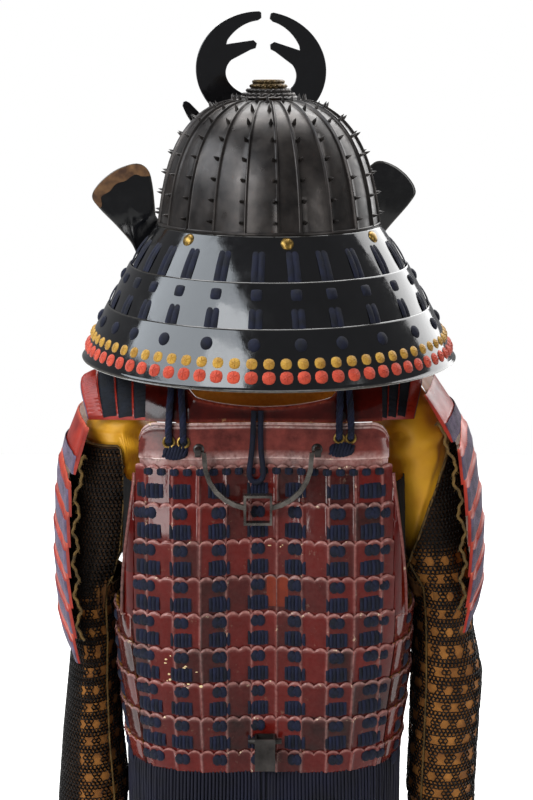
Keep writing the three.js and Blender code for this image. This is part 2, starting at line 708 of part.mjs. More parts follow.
// The front and sides: five rows round the body to the back panel's edges, and three rows up the breast.
function frontShellGeometry() {
  const rowTop = (row) => CUIRASS.firstRowTop - row * CUIRASS.rowPitch;
  const sideRows = [ARMHOLE_BOTTOM, ...[5, 6, 7, 8].map(rowTop)];
  const standOffs = { high: 3.6, low: 1, inside: -1.2 };
  const sideGap = 3.4;
  // The upper edge rises to a point beside the back panel, where the armhole starts.
  const rise = { 0: ARMHOLE_APEX - ARMHOLE_BOTTOM, 1: 14 };
  const around = (columns) => (level, standOff) =>
    range(columns, (_, i) => {
      const z = level + (level === ARMHOLE_BOTTOM ? rise[Math.min(i, columns - i)] ?? 0 : 0);
      const start = backAngle(panelHalf(z) + sideGap, z);
      return bodyPoint(evenAngles(z, start, 2 * Math.PI - start, columns)[i], z, standOff);
    });
  const across = (z, standOff) => {
    const half = lerp(0.95, 0.62, clamp((z + 190) / 140, 0, 1));
    return evenAngles(z, Math.PI - half, Math.PI + half, 12).map((angle) => bodyPoint(angle, z, standOff));
  };
  const body = wall(steppedLines(sideRows, CUIRASS.hem, standOffs, around(26)));
  const breast = wall(steppedLines([1, 2, 3].map(rowTop), ARMHOLE_BOTTOM - 8, standOffs, across));
  return join(body, breast);
}

// The plate across the top of the breast, nearly straight under the neck.
function breastPlateGeometry() {
  const { top, bottom, half } = { top: -19.8, bottom: -75.5, half: 0.62 };
  const columns = 16;
  const line = (low, standOff) =>
    range(columns, (t) => {
      const off = lerp(-half, half, t);
      const neck = top + 11.8 * Math.cos((off / half) * (Math.PI / 2)) ** 2;
      return bodyPoint(Math.PI + off, low ? bottom : neck, standOff);
    });
  return wall([line(false, 4), line(true, 4), line(true, 4 - PLATE), line(false, 4 - PLATE)]);
}

addPiece(suit, "back_yoke", yokeGeometry(), "red");
addPiece(suit, "back_plate", backPlateGeometry(), "red");
for (let row = 0; row < CUIRASS.rows; row += 1)
  addPiece(suit, `back_lame_${row + 1}`, backLameGeometry(row), "red");
addPiece(suit, "front_shell", frontShellGeometry(), "red");
addPiece(suit, "breast_plate", breastPlateGeometry(), "red");
addPiece(suit, "strap_left", strapGeometry(-1), "red");
addPiece(suit, "strap_right", strapGeometry(1), "red");

// POLE BRACKET AND SOCKET: the hinged bracket holds a flagpole off the back, and the socket takes its foot

const BRACKET = { bar: 4.4, thickness: 3.6, boxWidth: 27, boxHeight: 29, boxDepth: 9, rim: 2.4, boxDrop: 55 };

function bracketGeometry() {
  const middle = (HINGE.left + HINGE.right) / 2;
  const halfSpan = (HINGE.right - HINGE.left) / 2;
  const armHalf = halfSpan - 3 - GAP - BRACKET.bar / 2;
  const shape = new THREE.Shape();
  const edge = (grow) => {
    const [w, d] = [armHalf + grow, BRACKET.boxDrop + grow];
    return range(14, (t) => {
      const angle = t * Math.PI;
      const squarish = Math.abs(Math.sin(angle)) ** 0.8;
      return new THREE.Vector2(w * Math.cos(angle), -d * squarish);
    });
  };
  const outer = edge(BRACKET.bar / 2);
  const inner = edge(-BRACKET.bar / 2).reverse();
  shape.setFromPoints([...outer, ...inner]);
  const bow = new THREE.ExtrudeGeometry(shape, { depth: BRACKET.thickness, bevelEnabled: false })
    .translate(0, 0, -BRACKET.thickness / 2)
    .rotateX(Math.PI / 2);
  const { boxWidth, boxHeight, boxDepth, boxDrop, rim } = BRACKET;
  const box = new THREE.BoxGeometry(boxWidth, boxDepth, boxHeight).translate(0, 0, -boxDrop);
  const hole = new THREE.BoxGeometry(boxWidth - 2 * rim, boxDepth * 3, boxHeight - 2 * rim).translate(0, 0, -boxDrop);
  const pinLength = 8;
  const pin = (side) =>
    new THREE.CylinderGeometry(HINGE.pinRadius, HINGE.pinRadius, pinLength, 12)
      .rotateZ(Math.PI / 2)
      .translate(side * (armHalf + pinLength / 2), 0, 0);
  const made = cut(join(bow, box, pin(-1), pin(1)), hole);
  return made.translate(middle, 0, 0);
}

function socketGeometry() {
  const { width, depth, height, side } = { width: 20, depth: 15, height: 33, side: 2 };
  const body = new THREE.BoxGeometry(width, depth, height);
  const mouth = new THREE.BoxGeometry(width - 2 * side, depth - 2 * side, height).translate(0, 0, 4);
  const knob = (where) =>
    new THREE.CylinderGeometry(2.6, 3.4, 6.5, 8).rotateZ((-where * Math.PI) / 2).translate(where * (width / 2 + 3), 2, 11);
  return cut(join(body, knob(-1), knob(1)), mouth);
}

const bracket = new THREE.Group();
bracket.position.set(0, HINGE.y, HINGE.z);
suit.add(bracket);
addPiece(bracket, "pole_bracket", bracketGeometry(), "iron");
const socket = addPiece(suit, "pole_socket", socketGeometry(), "iron");
socket.position.set(1, -109.8, -328.5);

// SHOULDERS: laced wings over the shoulders, and the hanging guards

// A wing of three laced lames and a plain cap, over the shoulder.
const WING_REACH = { left: 182, right: 157 };
const WING_ROOT = 109 + GAP;

function shoulderWingGeometry(side) {
  const crownAt = (x) => lerp(45, 21, (x - WING_ROOT) / 70);
  const fallAt = (x) => lerp(46, 24, (x - WING_ROOT) / 70);
  const reach = WING_REACH[side > 0 ? "right" : "left"];
  const steps = range(4, (t) => lerp(WING_ROOT, reach, t));
  const halfLength = 66;
  const line = (x, lift) =>
    range(10, (t) => {
      const v = lerp(-1, 1, t);
      const pinch = 1 - (0.28 * (x - WING_ROOT)) / (reach - WING_ROOT);
      return V(side * x, halfLength * pinch * v - 2, crownAt(x) + lift - fallAt(x) * v * v);
    });
  const lines = [];
  for (let i = 0; i + 1 < steps.length; i += 1) lines.push(line(steps[i], 5.6), line(steps[i + 1], 3.4));
  lines.push(line(steps[steps.length - 1], 1), line(steps[0], 2.6));
  return wall(lines);
}

// How far out each guard hangs, by the distance below its top.
const SODE_OUT = [
  { z: 0, left: 181, right: 165 },
  { z: -30, left: 195, right: 187 },
  { z: -60, left: 203, right: 203 },
  { z: -110, left: 207, right: 213 },
  { z: -150, left: 208, right: 218 },
  { z: -200, left: 206, right: 219 },
  { z: -240, left: 201, right: 215 },
];

function sodeLameGeometry(side, index) {
  const top = -(index === 0 ? 0 : SODE.capHeight + (index - 1) * SODE.pitch);
  const height = index === 0 ? SODE.capHeight : SODE.pitch;
  const overlap = index === SODE.lames - 1 ? 0 : SODE.overlap;
  const hand = side > 0 ? "right" : "left";
  const shift = SODE_TOP[hand];
  const line = (z, standOff) =>
    range(8, (t) => {
      const angle = lerp(-SODE.halfAngle, SODE.halfAngle, t);
      const out = fromTable(SODE_OUT, hand, z) + standOff - SODE.bend * (1 - Math.cos(angle));
      return V(side * out, SODE.centreY + SODE.bend * Math.sin(angle), z + shift);
    });
  const bottom = top - height - overlap;
  return wall([line(top, 4), line(bottom, 0.6), line(bottom, 0.6 - PLATE), line(top, 4 - PLATE)]);
}

for (const [name, side] of [["left", -1], ["right", 1]]) {
  addPiece(suit, `shoulder_wing_${name}`, shoulderWingGeometry(side), "navy");
  for (let i = 0; i < SODE.lames; i += 1)
    addPiece(suit, `shoulder_guard_${name}_${i + 1}`, sodeLameGeometry(side, i), "vermilion");
}

// SLEEVES: satin round the shoulder, mail on cloth down the arm, and a plate over the hand

// A point round a sleeve: the angle is 0 at the outside of the arm and 90 degrees at the back.
function sleevePoint(side, angle, z, standOff) {
  const hand = side > 0 ? "right" : "left";
  const x = fromTable(SLEEVE, `${hand}X`, z) + (fromTable(SLEEVE, `${hand}Half`, z) + standOff) * Math.cos(angle);
  const y = fromTable(SLEEVE, "y", z) - (fromTable(SLEEVE, "halfDepth", z) + standOff) * Math.sin(angle);
  return V(side * x, y, z);
}

const clothFold = (angle, z) =>
  CLOTH_FOLDS.reduce((sum, fold) => {
    const off = (z - fold.z - fold.rise * Math.cos(angle)) / fold.half;
    return sum - fold.depth * Math.exp(-off * off) * (0.4 + 0.6 * Math.abs(Math.sin(angle)));
  }, 0);

// The mail's slanting upper edge: high outside the arm, low in the armpit.
function mailRim(side, angle) {
  if (side > 0) return MAIL.top + MAIL.slant * Math.cos(angle);
  const fromOutside = Math.acos(clamp(Math.cos(angle), -1, 1));
  const t = clamp((fromOutside - LEFT_RIM.from) / (LEFT_RIM.to - LEFT_RIM.from), 0, 1);
  return lerp(LEFT_RIM.high, LEFT_RIM.low, t * t * (3 - 2 * t));
}

// A line round the sleeve, a share of the way between two heights that depend on the angle.
function sleeveRing(side, columns, from, to, share, standOffAt) {
  return range(columns, (t, i) => {
    const angle = i === columns ? 0 : t * 2 * Math.PI;
    const z = lerp(from(angle), to(angle), share);
    return sleevePoint(side, angle, z, standOffAt(angle, z));
  });
}

function shoulderClothGeometry(side) {
  const { top, underMail, thickness } = SHOULDER_CLOTH;
  const [columns, rows] = [16, 9];
  const ring = (share, depth) =>
    sleeveRing(side, columns, () => top, (angle) => mailRim(side, angle) - underMail, share, (angle, z) => {
      const tucked = z < mailRim(side, angle) + 8 ? 3.2 : 0.6;
      return clothFold(angle, z) - tucked - depth;
    });
  const shares = range(rows, (t) => t);
  return wall([...shares.map((t) => ring(t, 0)), ...shares.reverse().map((t) => ring(t, thickness))], { closed: true });
}

function mailSleeveGeometry(side) {
  const shares = [0, 0.15, 0.3, 0.45, 0.6, 0.8, 1];
  const ring = (share, standOff) =>
    sleeveRing(side, 16, (angle) => mailRim(side, angle), () => MAIL.wrist, share, (angle, z) => standOff + clothFold(angle, z) * 0.5);
  const outside = shares.map((share) => ring(share, MAIL.standOff));
  const inside = [...shares].reverse().map((share) => ring(share, MAIL.standOff - 2));
  return wall([...outside, ...inside], { closed: true });
}

// A domed plate over the back of the hand, hung from the sleeve's end.
function handPlateGeometry(side) {
  const { top, bottom, lift } = { top: -552, bottom: -640, lift: MAIL.standOff + GAP };
  const half = degToRad(62);
  const line = (z, standOff) =>
    range(8, (t) => {
      const angle = lerp(-half, half, t);
      const taper = clamp((top - z) / (top - bottom), 0, 1);
      const point = sleevePoint(side, angle * (1 - 0.25 * taper ** 3), Math.max(z, MAIL.wrist), standOff + 3 * taper);
      return V(point.x, point.y + 14 * taper, z - 9 * (taper === 1 ? Math.cos(angle) : 0));
    });
  const mid = (top + bottom) / 2;
  return wall([line(top, lift + 1.6), line(mid, lift + 1.6), line(bottom, lift + 1.6), line(bottom, lift), line(mid, lift), line(top, lift)]);
}

for (const [name, side] of [["left", -1], ["right", 1]]) {
  addPiece(suit, `shoulder_cloth_${name}`, shoulderClothGeometry(side), "ochre");
  addPiece(suit, `mail_sleeve_${name}`, mailSleeveGeometry(side), "mail");
  addPiece(suit, `hand_plate_${name}`, handPlateGeometry(side), "black");
}

// SKIRT: a ring of close lacing under the cuirass, and the tassets it carries

function waistLacingGeometry() {
  const hidden = -2.6;
  const foot = TASSET.top + GAP;
  const ring = (z, standOff) => {
    const angles = evenAngles(z, -Math.PI, Math.PI, WAIST_SIDES);
    return angles.map((angle, i) => bodyPoint(i === WAIST_SIDES ? angles[0] : angle, z, standOff));
  };
  return wall(
    [
      ring(CUIRASS.hem + 9, hidden),
      ring(CUIRASS.hem - 1, hidden),
      ring(CUIRASS.hem - 4, 1.8),
      ring(foot, 1.8),
      ring(foot, -0.8),
      ring(CUIRASS.hem - 4, -0.8),
      ring(CUIRASS.hem + 9, hidden - 1.6),
    ],
    { closed: true },
  );
}

function tassetGeometry(index) {
  const step = (2 * Math.PI) / TASSET.count;
  const half = step / 2 - degToRad(TASSET.gapDegrees);
  const centre = index * step;
  const tops = Array.from({ length: TASSET.rows }, (_, i) => TASSET.top - i * TASSET.rowPitch);
  const bottom = TASSET.top - TASSET.rows * TASSET.rowPitch;
  const standOffs = { high: 3.8, low: 1.2, inside: -0.8 };
  const lineAt = (z, standOff) =>
    evenAngles(z, centre - half, centre + half, 5).map((angle) => bodyPoint(angle, z, standOff));
  return wall(steppedLines(tops, bottom, standOffs, lineAt));
}

addPiece(suit, "waist_lacing", waistLacingGeometry(), "navy");
for (let i = 0; i < TASSET.count; i += 1) addPiece(suit, `tasset_${i + 1}`, tassetGeometry(i), "red");

// CORDS: a loop down from the neck's edge, and a loop through two eyelets under each strap

const CORD_SIDES = 8;

function cordGeometry(points, diameter, steps) {
  const section = new THREE.Shape(
    Array.from({ length: CORD_SIDES }, (_, i) => {
      const angle = (i * 2 * Math.PI) / CORD_SIDES;
      return new THREE.Vector2((Math.cos(angle) * diameter) / 2, (Math.sin(angle) * diameter) / 2);
    }),
  );
  const path = new THREE.CatmullRomCurve3(points.map(([x, y, z]) => V(x, y, z)));
  return new THREE.ExtrudeGeometry(section, { steps, bevelEnabled: false, extrudePath: path });
}

// Each route lists how far to the side, how high and how far off the back's outline the cord's middle lies.
const route = (table) => table.map(([x, z, standOff]) => backPoint(x, z, standOff).toArray());

// The middle loop leaves the yoke's edge, hangs down the plate, turns and comes back up.
const MIDDLE_CORD = { diameter: 5.5, route: [
  [-9.5, 10, 6.6],
  [-9.8, 2, 6.6],
  [-10.2, -8, 6.6],
  [-10.8, -20, 6.6],
  [-12, -32, 7],
  [-13.4, -42, 7.6],
  [-13.8, -50, 7.4],
  [-11.4, -55.4, 7],
  [-7, -57, 6.9],
  [-2.4, -54.6, 7],
  [-0.6, -49, 7.4],
  [-1.2, -40, 7.6],
  [-2.4, -30, 7],
  [-3, -18, 6.6],
  [-3, -7, 6.6],
  [-3, 2, 6.6],
  [-3, 10, 6.6],
] };
addPiece(suit, "middle_cord", cordGeometry(route(MIDDLE_CORD.route), MIDDLE_CORD.diameter, 28), "navy");

// Each strap's loop rises from one eyelet, crosses over the strap's foot and comes down to the other.
const STRAP_CORD = { diameter: 7, left: [-88.8, -75.5], right: [81.4, 70.7], eyeletZ: { left: -16.5, right: -12.7 } };

function strapCordRoute(hand) {
  const [a, b] = STRAP_CORD[hand];
  const low = STRAP_CORD.eyeletZ[hand];
  const leg = (x) => [
    [x, low, 7.1],
    [x, low + 12, 7.1],
    [lerp(x, (a + b) / 2, 0.1), low + 26, 7.2],
    [lerp(x, (a + b) / 2, 0.25), low + 40, 7.4],
    [lerp(x, (a + b) / 2, 0.4), 33, 9],
  ];
  return route([...leg(a), [(a + b) / 2, 38, 11.5], ...leg(b).reverse()]);
}

for (const hand of ["left", "right"])
  addPiece(suit, `strap_cord_${hand}`, cordGeometry(strapCordRoute(hand), STRAP_CORD.diameter, 18), "navy");

export default root;
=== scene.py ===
"""Samurai armour seen from behind: lacquer, lacing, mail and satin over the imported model's frame.

Shapes are worked out in the drawing's millimetres, then lowered and scaled into the frame's metres.
"""
import math
import random

import bpy
from mathutils import Matrix, Vector


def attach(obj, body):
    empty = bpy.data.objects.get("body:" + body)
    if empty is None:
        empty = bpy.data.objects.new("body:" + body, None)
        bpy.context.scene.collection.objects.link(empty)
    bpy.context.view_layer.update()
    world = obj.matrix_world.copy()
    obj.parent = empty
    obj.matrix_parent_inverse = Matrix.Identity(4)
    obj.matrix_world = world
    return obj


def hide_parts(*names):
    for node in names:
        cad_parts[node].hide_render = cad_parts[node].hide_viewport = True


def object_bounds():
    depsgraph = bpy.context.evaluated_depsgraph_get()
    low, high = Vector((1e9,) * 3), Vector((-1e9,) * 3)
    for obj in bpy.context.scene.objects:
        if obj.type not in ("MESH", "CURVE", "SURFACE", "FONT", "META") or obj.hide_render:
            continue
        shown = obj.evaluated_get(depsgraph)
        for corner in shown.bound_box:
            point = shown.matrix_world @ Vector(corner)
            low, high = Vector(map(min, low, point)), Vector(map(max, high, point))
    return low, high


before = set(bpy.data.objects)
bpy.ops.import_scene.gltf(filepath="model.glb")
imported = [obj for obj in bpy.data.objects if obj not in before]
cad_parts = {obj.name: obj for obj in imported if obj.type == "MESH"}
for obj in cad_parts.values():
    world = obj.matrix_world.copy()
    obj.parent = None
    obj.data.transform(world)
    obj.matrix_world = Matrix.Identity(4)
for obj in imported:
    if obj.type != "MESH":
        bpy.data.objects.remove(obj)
cad_box = [list(corner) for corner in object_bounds()]
random.seed(7)

MM = 0.001
STRAP_UNDERSIDE = 45.0
TAU = 2 * math.pi

# Camera: where it stands, how far it looks down, and its lens, for a frame that is 800 pixels tall.
CAMERA_AT = (0.0025, -1.6139, 0.298)
CAMERA_PITCH = math.radians(12)
FOCAL_PX, FRAME_PX, SENSOR = 1650, 800, 36


# Helpers

def lerp(a, b, t):
    return a + (b - a) * t


def clamp(value, low=0.0, high=1.0):
    return max(low, min(high, value))


def smooth(t):
    t = clamp(t)
    return t * t * (3 - 2 * t)


def spread(count, low=0.0, high=1.0):
    return [lerp(low, high, i / count) for i in range(count + 1)]


def table(rows, column, z):
    """Value of a column of a table whose rows run down in z."""
    if z >= rows[0][0]:
        return rows[0][column]
    for above, below in zip(rows, rows[1:]):
        if z >= below[0]:
            return lerp(above[column], below[column], (above[0] - z) / (above[0] - below[0]))
    return rows[-1][column]


def signed_power(value, power):
    return math.copysign(abs(value) ** power, value)


# The helmet sits a little forward on the head, and is turned a little.
HELMET_AT, HELMET_TURN = (4.4, 10, 178), math.radians(9.5)
SUIT = Matrix.Translation((0, 0, -STRAP_UNDERSIDE * MM)) @ Matrix.Scale(MM, 4)
HELMET = SUIT @ Matrix.Translation(HELMET_AT) @ Matrix.Rotation(HELMET_TURN, 4, "Z")


class Skin:
    """Points and faces collected into one mesh."""

    def __init__(self, place=SUIT):
        self.place = place
        self.points, self.tones = [], []
        self.faces, self.slots = [], []

    def add(self, points, tones=None):
        first = len(self.points)
        self.points.extend(points)
        self.tones.extend(tones if tones else [0.0] * len(points))
        return first

    def face(self, corners, slot=0):
        self.faces.append(tuple(corners))
        self.slots.append(slot)

    def wall(self, lines, slots=0, tones=None, closed=False, loop=True):
        """Strips between lines with equal counts. loop joins the last line to the first."""
        count = len(lines[0])
        starts = [self.add(line, tones[i] if tones else None) for i, line in enumerate(lines)]
        pairs = list(zip(range(len(lines)), range(1, len(lines))))
        if loop:
            pairs.append((len(lines) - 1, 0))
        for i, j in pairs:
            slot = slots[i] if isinstance(slots, (list, tuple)) else slots
            for k in range(count if closed else count - 1):
                n = (k + 1) % count
                self.face((starts[i] + k, starts[j] + k, starts[j] + n, starts[i] + n), slot)
        if loop and not closed:
            slot = slots[0] if isinstance(slots, (list, tuple)) else slots
            self.face(starts, slot)
            self.face([s + count - 1 for s in reversed(starts)], slot)

    def tube(self, path, radius, sides=6, slot=0, closed=False, flat=1.0, tone=0.0):
        """A tube along points. radius may be a function of the share of the way, and flat squeezes it."""
        rings = []
        total = len(path)
        up = Vector((0.13, 0.21, 0.97))
        for i, point in enumerate(path):
            before = path[i - 1] if i or closed else path[i]
            after = path[(i + 1) % total] if i < total - 1 or closed else path[i]
            along = (after - before).normalized()
            across = along.cross(up)
            if across.length < 1e-4:
                across = along.cross(Vector((1, 0, 0)))
            across.normalize()
            lift = along.cross(across)
            up = -lift
            r = radius(i / max(1, total - 1)) if callable(radius) else radius
            rings.append(
                [
                    point + across * (r * math.cos(a)) + lift * (r * flat * math.sin(a))
                    for a in (TAU * k / sides for k in range(sides))
                ]
            )
        starts = [self.add(ring, [tone] * sides) for ring in rings]
        for i in range(total if closed else total - 1):
            j = (i + 1) % total
            for k in range(sides):
                n = (k + 1) % sides
                self.face((starts[i] + k, starts[i] + n, starts[j] + n, starts[j] + k), slot)
        if not closed:
            self.face([starts[0] + k for k in reversed(range(sides))], slot)
            self.face([starts[-1] + k for k in range(sides)], slot)

    def dome(self, at, width, height, rise, slot=0, sides=10, rings=3, turn=0.0, tone=0.0, square=2.0):
        """A low dome on a surface. at(across, up, off) gives a point near its middle."""
        top = self.add([at(0, 0, rise)], [tone])
        previous = None
        for j in range(1, rings + 1):
            lift = math.cos(j / rings * math.pi / 2)
            reach = math.sin(j / rings * math.pi / 2)
            ring = []
            for k in range(sides):
                a = TAU * k / sides + turn
                c, s = math.cos(a), math.sin(a)
                size = (abs(c) ** square + abs(s) ** square) ** (-1 / square)
                across, along = width / 2 * reach * c * size, height / 2 * reach * s * size
                ring.append(at(across, along, rise * lift - 0.15))
            start = self.add(ring, [tone] * sides)
            for k in range(sides):
                n = (k + 1) % sides
                if previous is None:
                    self.face((top, start + k, start + n), slot)
                else:
                    self.face((previous + k, start + k, start + n, previous + n), slot)
            previous = start

    def make(self, name, materials, replaces=None, slot=None, sharp=38):
        """The mesh as a piece that rides on the armour and stands for a node of the frame, or for none."""
        mesh = bpy.data.meshes.new(name)
        mesh.from_pydata([self.place @ p for p in self.points], [], self.faces)
        mesh.polygons.foreach_set("material_index", self.slots)
        mesh.polygons.foreach_set("use_smooth", [True] * len(self.faces))
        tone = mesh.attributes.new("tone", "FLOAT", "POINT")
        tone.data.foreach_set("value", self.tones)
        for material in materials:
            mesh.materials.append(material)
        mesh.validate()
        mesh.set_sharp_from_angle(angle=math.radians(sharp))
        piece = bpy.data.objects.new(name, mesh)
        bpy.context.scene.collection.objects.link(piece)
        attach(piece, "armour")
        if replaces:
            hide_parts(replaces)
        return piece


# Materials

def colour(code):
    """Linear colour of an sRGB code such as 0x6e1c14."""
    def linear(v):
        return v / 12.92 if v <= 0.04045 else ((v + 0.055) / 1.055) ** 2.4

    return (*[linear((code >> shift & 255) / 255) for shift in (16, 8, 0)], 1.0)


class Look:
    """A material's node tree, built by short steps."""

    def __init__(self, name, rough=0.5, metal=0.0, sheen=0.0, specular=0.5):
        self.material = bpy.data.materials.new(name)
        self.material.use_nodes = True
        self.tree = self.material.node_tree
        self.shader = self.tree.nodes["Principled BSDF"]
        for socket, value in (
            ("Roughness", rough),
            ("Metallic", metal),
            ("Sheen Weight", sheen),
            ("Sheen Roughness", 0.4),
            ("Specular IOR Level", specular),
        ):
            self.shader.inputs[socket].default_value = value
        self.place = self.node("ShaderNodeTexCoord").outputs["Object"]

    def node(self, kind, **settings):
        made = self.tree.nodes.new(kind)
        for key, value in settings.items():
            setattr(made, key, value)
        return made

    def link(self, source, target):
        self.tree.links.new(source, target)

    def noise(self, scale, detail=3.0, rough=0.5, stretch=None):
        texture = self.node("ShaderNodeTexNoise")
        texture.inputs["Scale"].default_value = scale
        texture.inputs["Detail"].default_value = detail
        texture.inputs["Roughness"].default_value = rough
        place = self.place
        if stretch:
            mapping = self.node("ShaderNodeMapping")
            mapping.inputs["Scale"].default_value = stretch
            self.link(place, mapping.inputs["Vector"])
            place = mapping.outputs["Vector"]
        self.link(place, texture.inputs["Vector"])
        return texture.outputs["Fac"]

    def wave(self, scale, direction="Z", distortion=0.0):
        texture = self.node("ShaderNodeTexWave", bands_direction=direction)
        texture.inputs["Scale"].default_value = scale
        texture.inputs["Distortion"].default_value = distortion
        self.link(self.place, texture.inputs["Vector"])
        return texture.outputs["Fac"]

    def ramp(self, factor, *stops):
        made = self.node("ShaderNodeValToRGB")
        elements = made.color_ramp.elements
        while len(elements) < len(stops):
            elements.new(0.5)
        for element, (position, value) in zip(elements, stops):
            element.position = position
            element.color = value if isinstance(value, tuple) else (value, value, value, 1)
        self.link(factor, made.inputs["Fac"])
        return made.outputs["Color"]

    def mix(self, factor, a, b):
        made = self.node("ShaderNodeMix", data_type="RGBA")
        for value, socket in ((factor, made.inputs[0]), (a, made.inputs[6]), (b, made.inputs[7])):
            if isinstance(value, (float, int, tuple)):
                socket.default_value = value
            else:
                self.link(value, socket)
        return made.outputs[2]

    def tone(self):
        return self.node("ShaderNodeAttribute", attribute_name="tone").outputs["Fac"]

    def math(self, operation, a, b=0.0):
        made = self.node("ShaderNodeMath", operation=operation, use_clamp=True)
        for value, socket in ((a, made.inputs[0]), (b, made.inputs[1])):
            if isinstance(value, (float, int)):
                socket.default_value = value
            else:
                self.link(value, socket)
        return made.outputs[0]

    def base(self, source):
        self.link(source, self.shader.inputs["Base Color"])

    def roughness(self, source):
        self.link(source, self.shader.inputs["Roughness"])

    def bump(self, height, strength=0.3, distance=0.5):
        made = self.node("ShaderNodeBump")
        made.inputs["Strength"].default_value = strength
        made.inputs["Distance"].default_value = distance * MM
        self.link(height, made.inputs["Height"])
        previous = self.shader.inputs["Normal"]
        if previous.is_linked:
            self.link(previous.links[0].from_socket, made.inputs["Normal"])
        self.link(made.outputs["Normal"], previous)


# One scale of the cuirass, and how far the rows are moved so that the shades change between them, in metres
SCALE_WIDTH, SCALE_HEIGHT, SCALE_SHIFT = 0.0245, 0.03615, 0.0855


def iron_look(name, dark, light, rust, rough=0.42, metal=0.6):
    look = Look(name, rough=rough, metal=metal)
    body = look.ramp(look.noise(48, 5, 0.6), (0.35, colour(dark)), (0.72, colour(light)))
    spots = look.ramp(look.noise(170, 6, 0.7), (0.62, 0.0), (0.78, 0.7))
    look.base(look.mix(spots, body, colour(rust)))
    look.roughness(look.ramp(look.noise(90, 4), (0.3, rough - 0.08), (0.75, rough + 0.12)))
    look.bump(look.noise(900, 4, 0.7), 0.12, 0.2)
    look.bump(look.noise(140, 5, 0.6), 0.14, 0.5)
    return look.material


def lacquer_look(name, deep, bright, rim, rough=0.16, chips=None, specular=0.5, scales=False):
    """Lacquer with uneven polish, a rim colour where the tone is high, and chips along it. The rim colour is
    partly worn lacquer and partly a painted highlight on the rims and seams.
    """
    look = Look(name, rough=rough, specular=specular)
    body = look.ramp(look.noise(34, 5, 0.65), (0.32, colour(deep)), (0.72, colour(bright)))
    # Where the tone is high, the rim colour paints wear and a highlight together.
    rim_wear_and_glint = look.math("MULTIPLY", look.tone(), look.ramp(look.noise(260, 4), (0.3, 0.35), (0.62, 1.0)))
    body = look.mix(rim_wear_and_glint, body, colour(rim))
    if scales:
        # Each scale was lacquered apart, so its shade differs a little from its neighbours'.
        moved = look.node("ShaderNodeVectorMath", operation="ADD")
        look.link(look.place, moved.inputs[0])
        moved.inputs[1].default_value = (SCALE_WIDTH / 2, 0, SCALE_SHIFT)
        snapped = look.node("ShaderNodeVectorMath", operation="SNAP")
        look.link(moved.outputs[0], snapped.inputs[0])
        snapped.inputs[1].default_value = (SCALE_WIDTH, 10, SCALE_HEIGHT)
        chance = look.node("ShaderNodeTexWhiteNoise")
        look.link(snapped.outputs[0], chance.inputs["Vector"])
        stops = ((0.15, colour(deep)), (0.6, colour(bright)), (1.0, colour(bright)))
        shade = look.ramp(chance.outputs["Value"], *stops)
        body = look.mix(0.6, body, shade)
    if chips:
        patches = look.ramp(look.noise(95, 6, 0.75), (0.62, 0.0), (0.65, 1.0))
        broken = look.math("MULTIPLY", look.tone(), patches)
        body = look.mix(broken, body, colour(chips))
    look.base(body)
    look.roughness(look.ramp(look.noise(75, 6, 0.7), (0.3, max(0.03, rough - 0.05)), (0.8, rough + 0.14)))
    look.bump(look.noise(70, 4, 0.6, (1.6, 1, 0.7)), 0.22 if scales else 0.08, 1.2)
    look.bump(look.noise(1200, 2), 0.04, 0.15)
    return look.material


def cloth_look(
    name, dark, light, weave, rough=0.8, sheen=0.25, bump=0.35, edge=None, patch=120, crossed=True
):
    """Threads that cross or run upright, with uneven dye. A high tone shows the edge colour."""
    look = Look(name, rough=rough, sheen=sheen, specular=0.3)
    body = look.ramp(look.noise(patch, 4), (0.3, colour(dark)), (0.7, colour(light)))
    threads = look.wave(weave, "X", 0.6)
    if crossed:
        threads = look.math("MULTIPLY", look.wave(weave, "Z", 0.6), threads)
    body = look.mix(look.ramp(threads, (0.0, 0.35), (0.6, 0.0)), body, colour(dark))
    if edge:
        body = look.mix(look.tone(), body, colour(edge))
    look.base(body)
    look.bump(threads, bump, 0.3)
    look.bump(look.noise(320, 4), 0.2, 0.4)
    return look.material


IRON = iron_look("russet_iron_plate", 0x1C1918, 0x383330, 0x442E22, 0.34)
IRON_FITTING = iron_look("wrought_iron", 0x1E1B19, 0x484340, 0x553C2C, 0.4)
MAIL_IRON = iron_look("mail_rings", 0x080606, 0x1C1714, 0x2A1B12, 0.5)
BLACK = lacquer_look("black_lacquer_gloss", 0x040405, 0x09090B, 0x57534C, 0.08, specular=0.6)
# Its pale pink rim colour is a painted highlight on the scales' rims and seams, with some wear.
RED = lacquer_look(
    "deep_red_lacquer", 0x140101, 0x580803, 0xE0AAA0, 0.07, 0xEED8B4, specular=0.24, scales=True
)
# The back plate's paler, pinker lacquer is a painted reflection. Its pale rim colour is a painted highlight
# with wear.
PLATE_RED_PAINTED_SHEEN = lacquer_look("plate_lacquer", 0x351210, 0x7E3A32, 0xE8C8C0, 0.1, 0xEED8B4, specular=0.4)
RED_DARK = lacquer_look("dark_red_lacquer", 0x1E0403, 0x460E08, 0x8A3A2B, 0.1, 0xC49A6A, specular=0.25)
OLD_ORANGE = lacquer_look("worn_orange_lacquer", 0x4A1408, 0x6E2610, 0xA85A38, 0.16, specular=0.25)
PALE_GROUND = lacquer_look("pale_ground", 0xC8A878, 0xE6D0A0, 0xF0E0C0, 0.5, specular=0.3)
VERMILION = lacquer_look("orange_red_lacquer", 0x6E1810, 0x9E2E1F, 0xC85A42, 0.3, 0xD8B070, specular=0.3)
GOLD_INSIDE = lacquer_look("gold_orange_inside", 0x965A18, 0xC87C24, 0xD8A048, 0.4, specular=0.3)
NAVY = cloth_look("navy_lacing", 0x02040D, 0x0A102A, 1900, sheen=0.02, edge=0x141C3C)
WAIST_SILK = cloth_look("waist_silk", 0x02020E, 0x070922, 1900, 0.7, 0.0, 0.1, patch=30, crossed=False)
NAVY_DARK = cloth_look("navy_backing", 0x05070D, 0x0D131F, 1900, sheen=0.05)
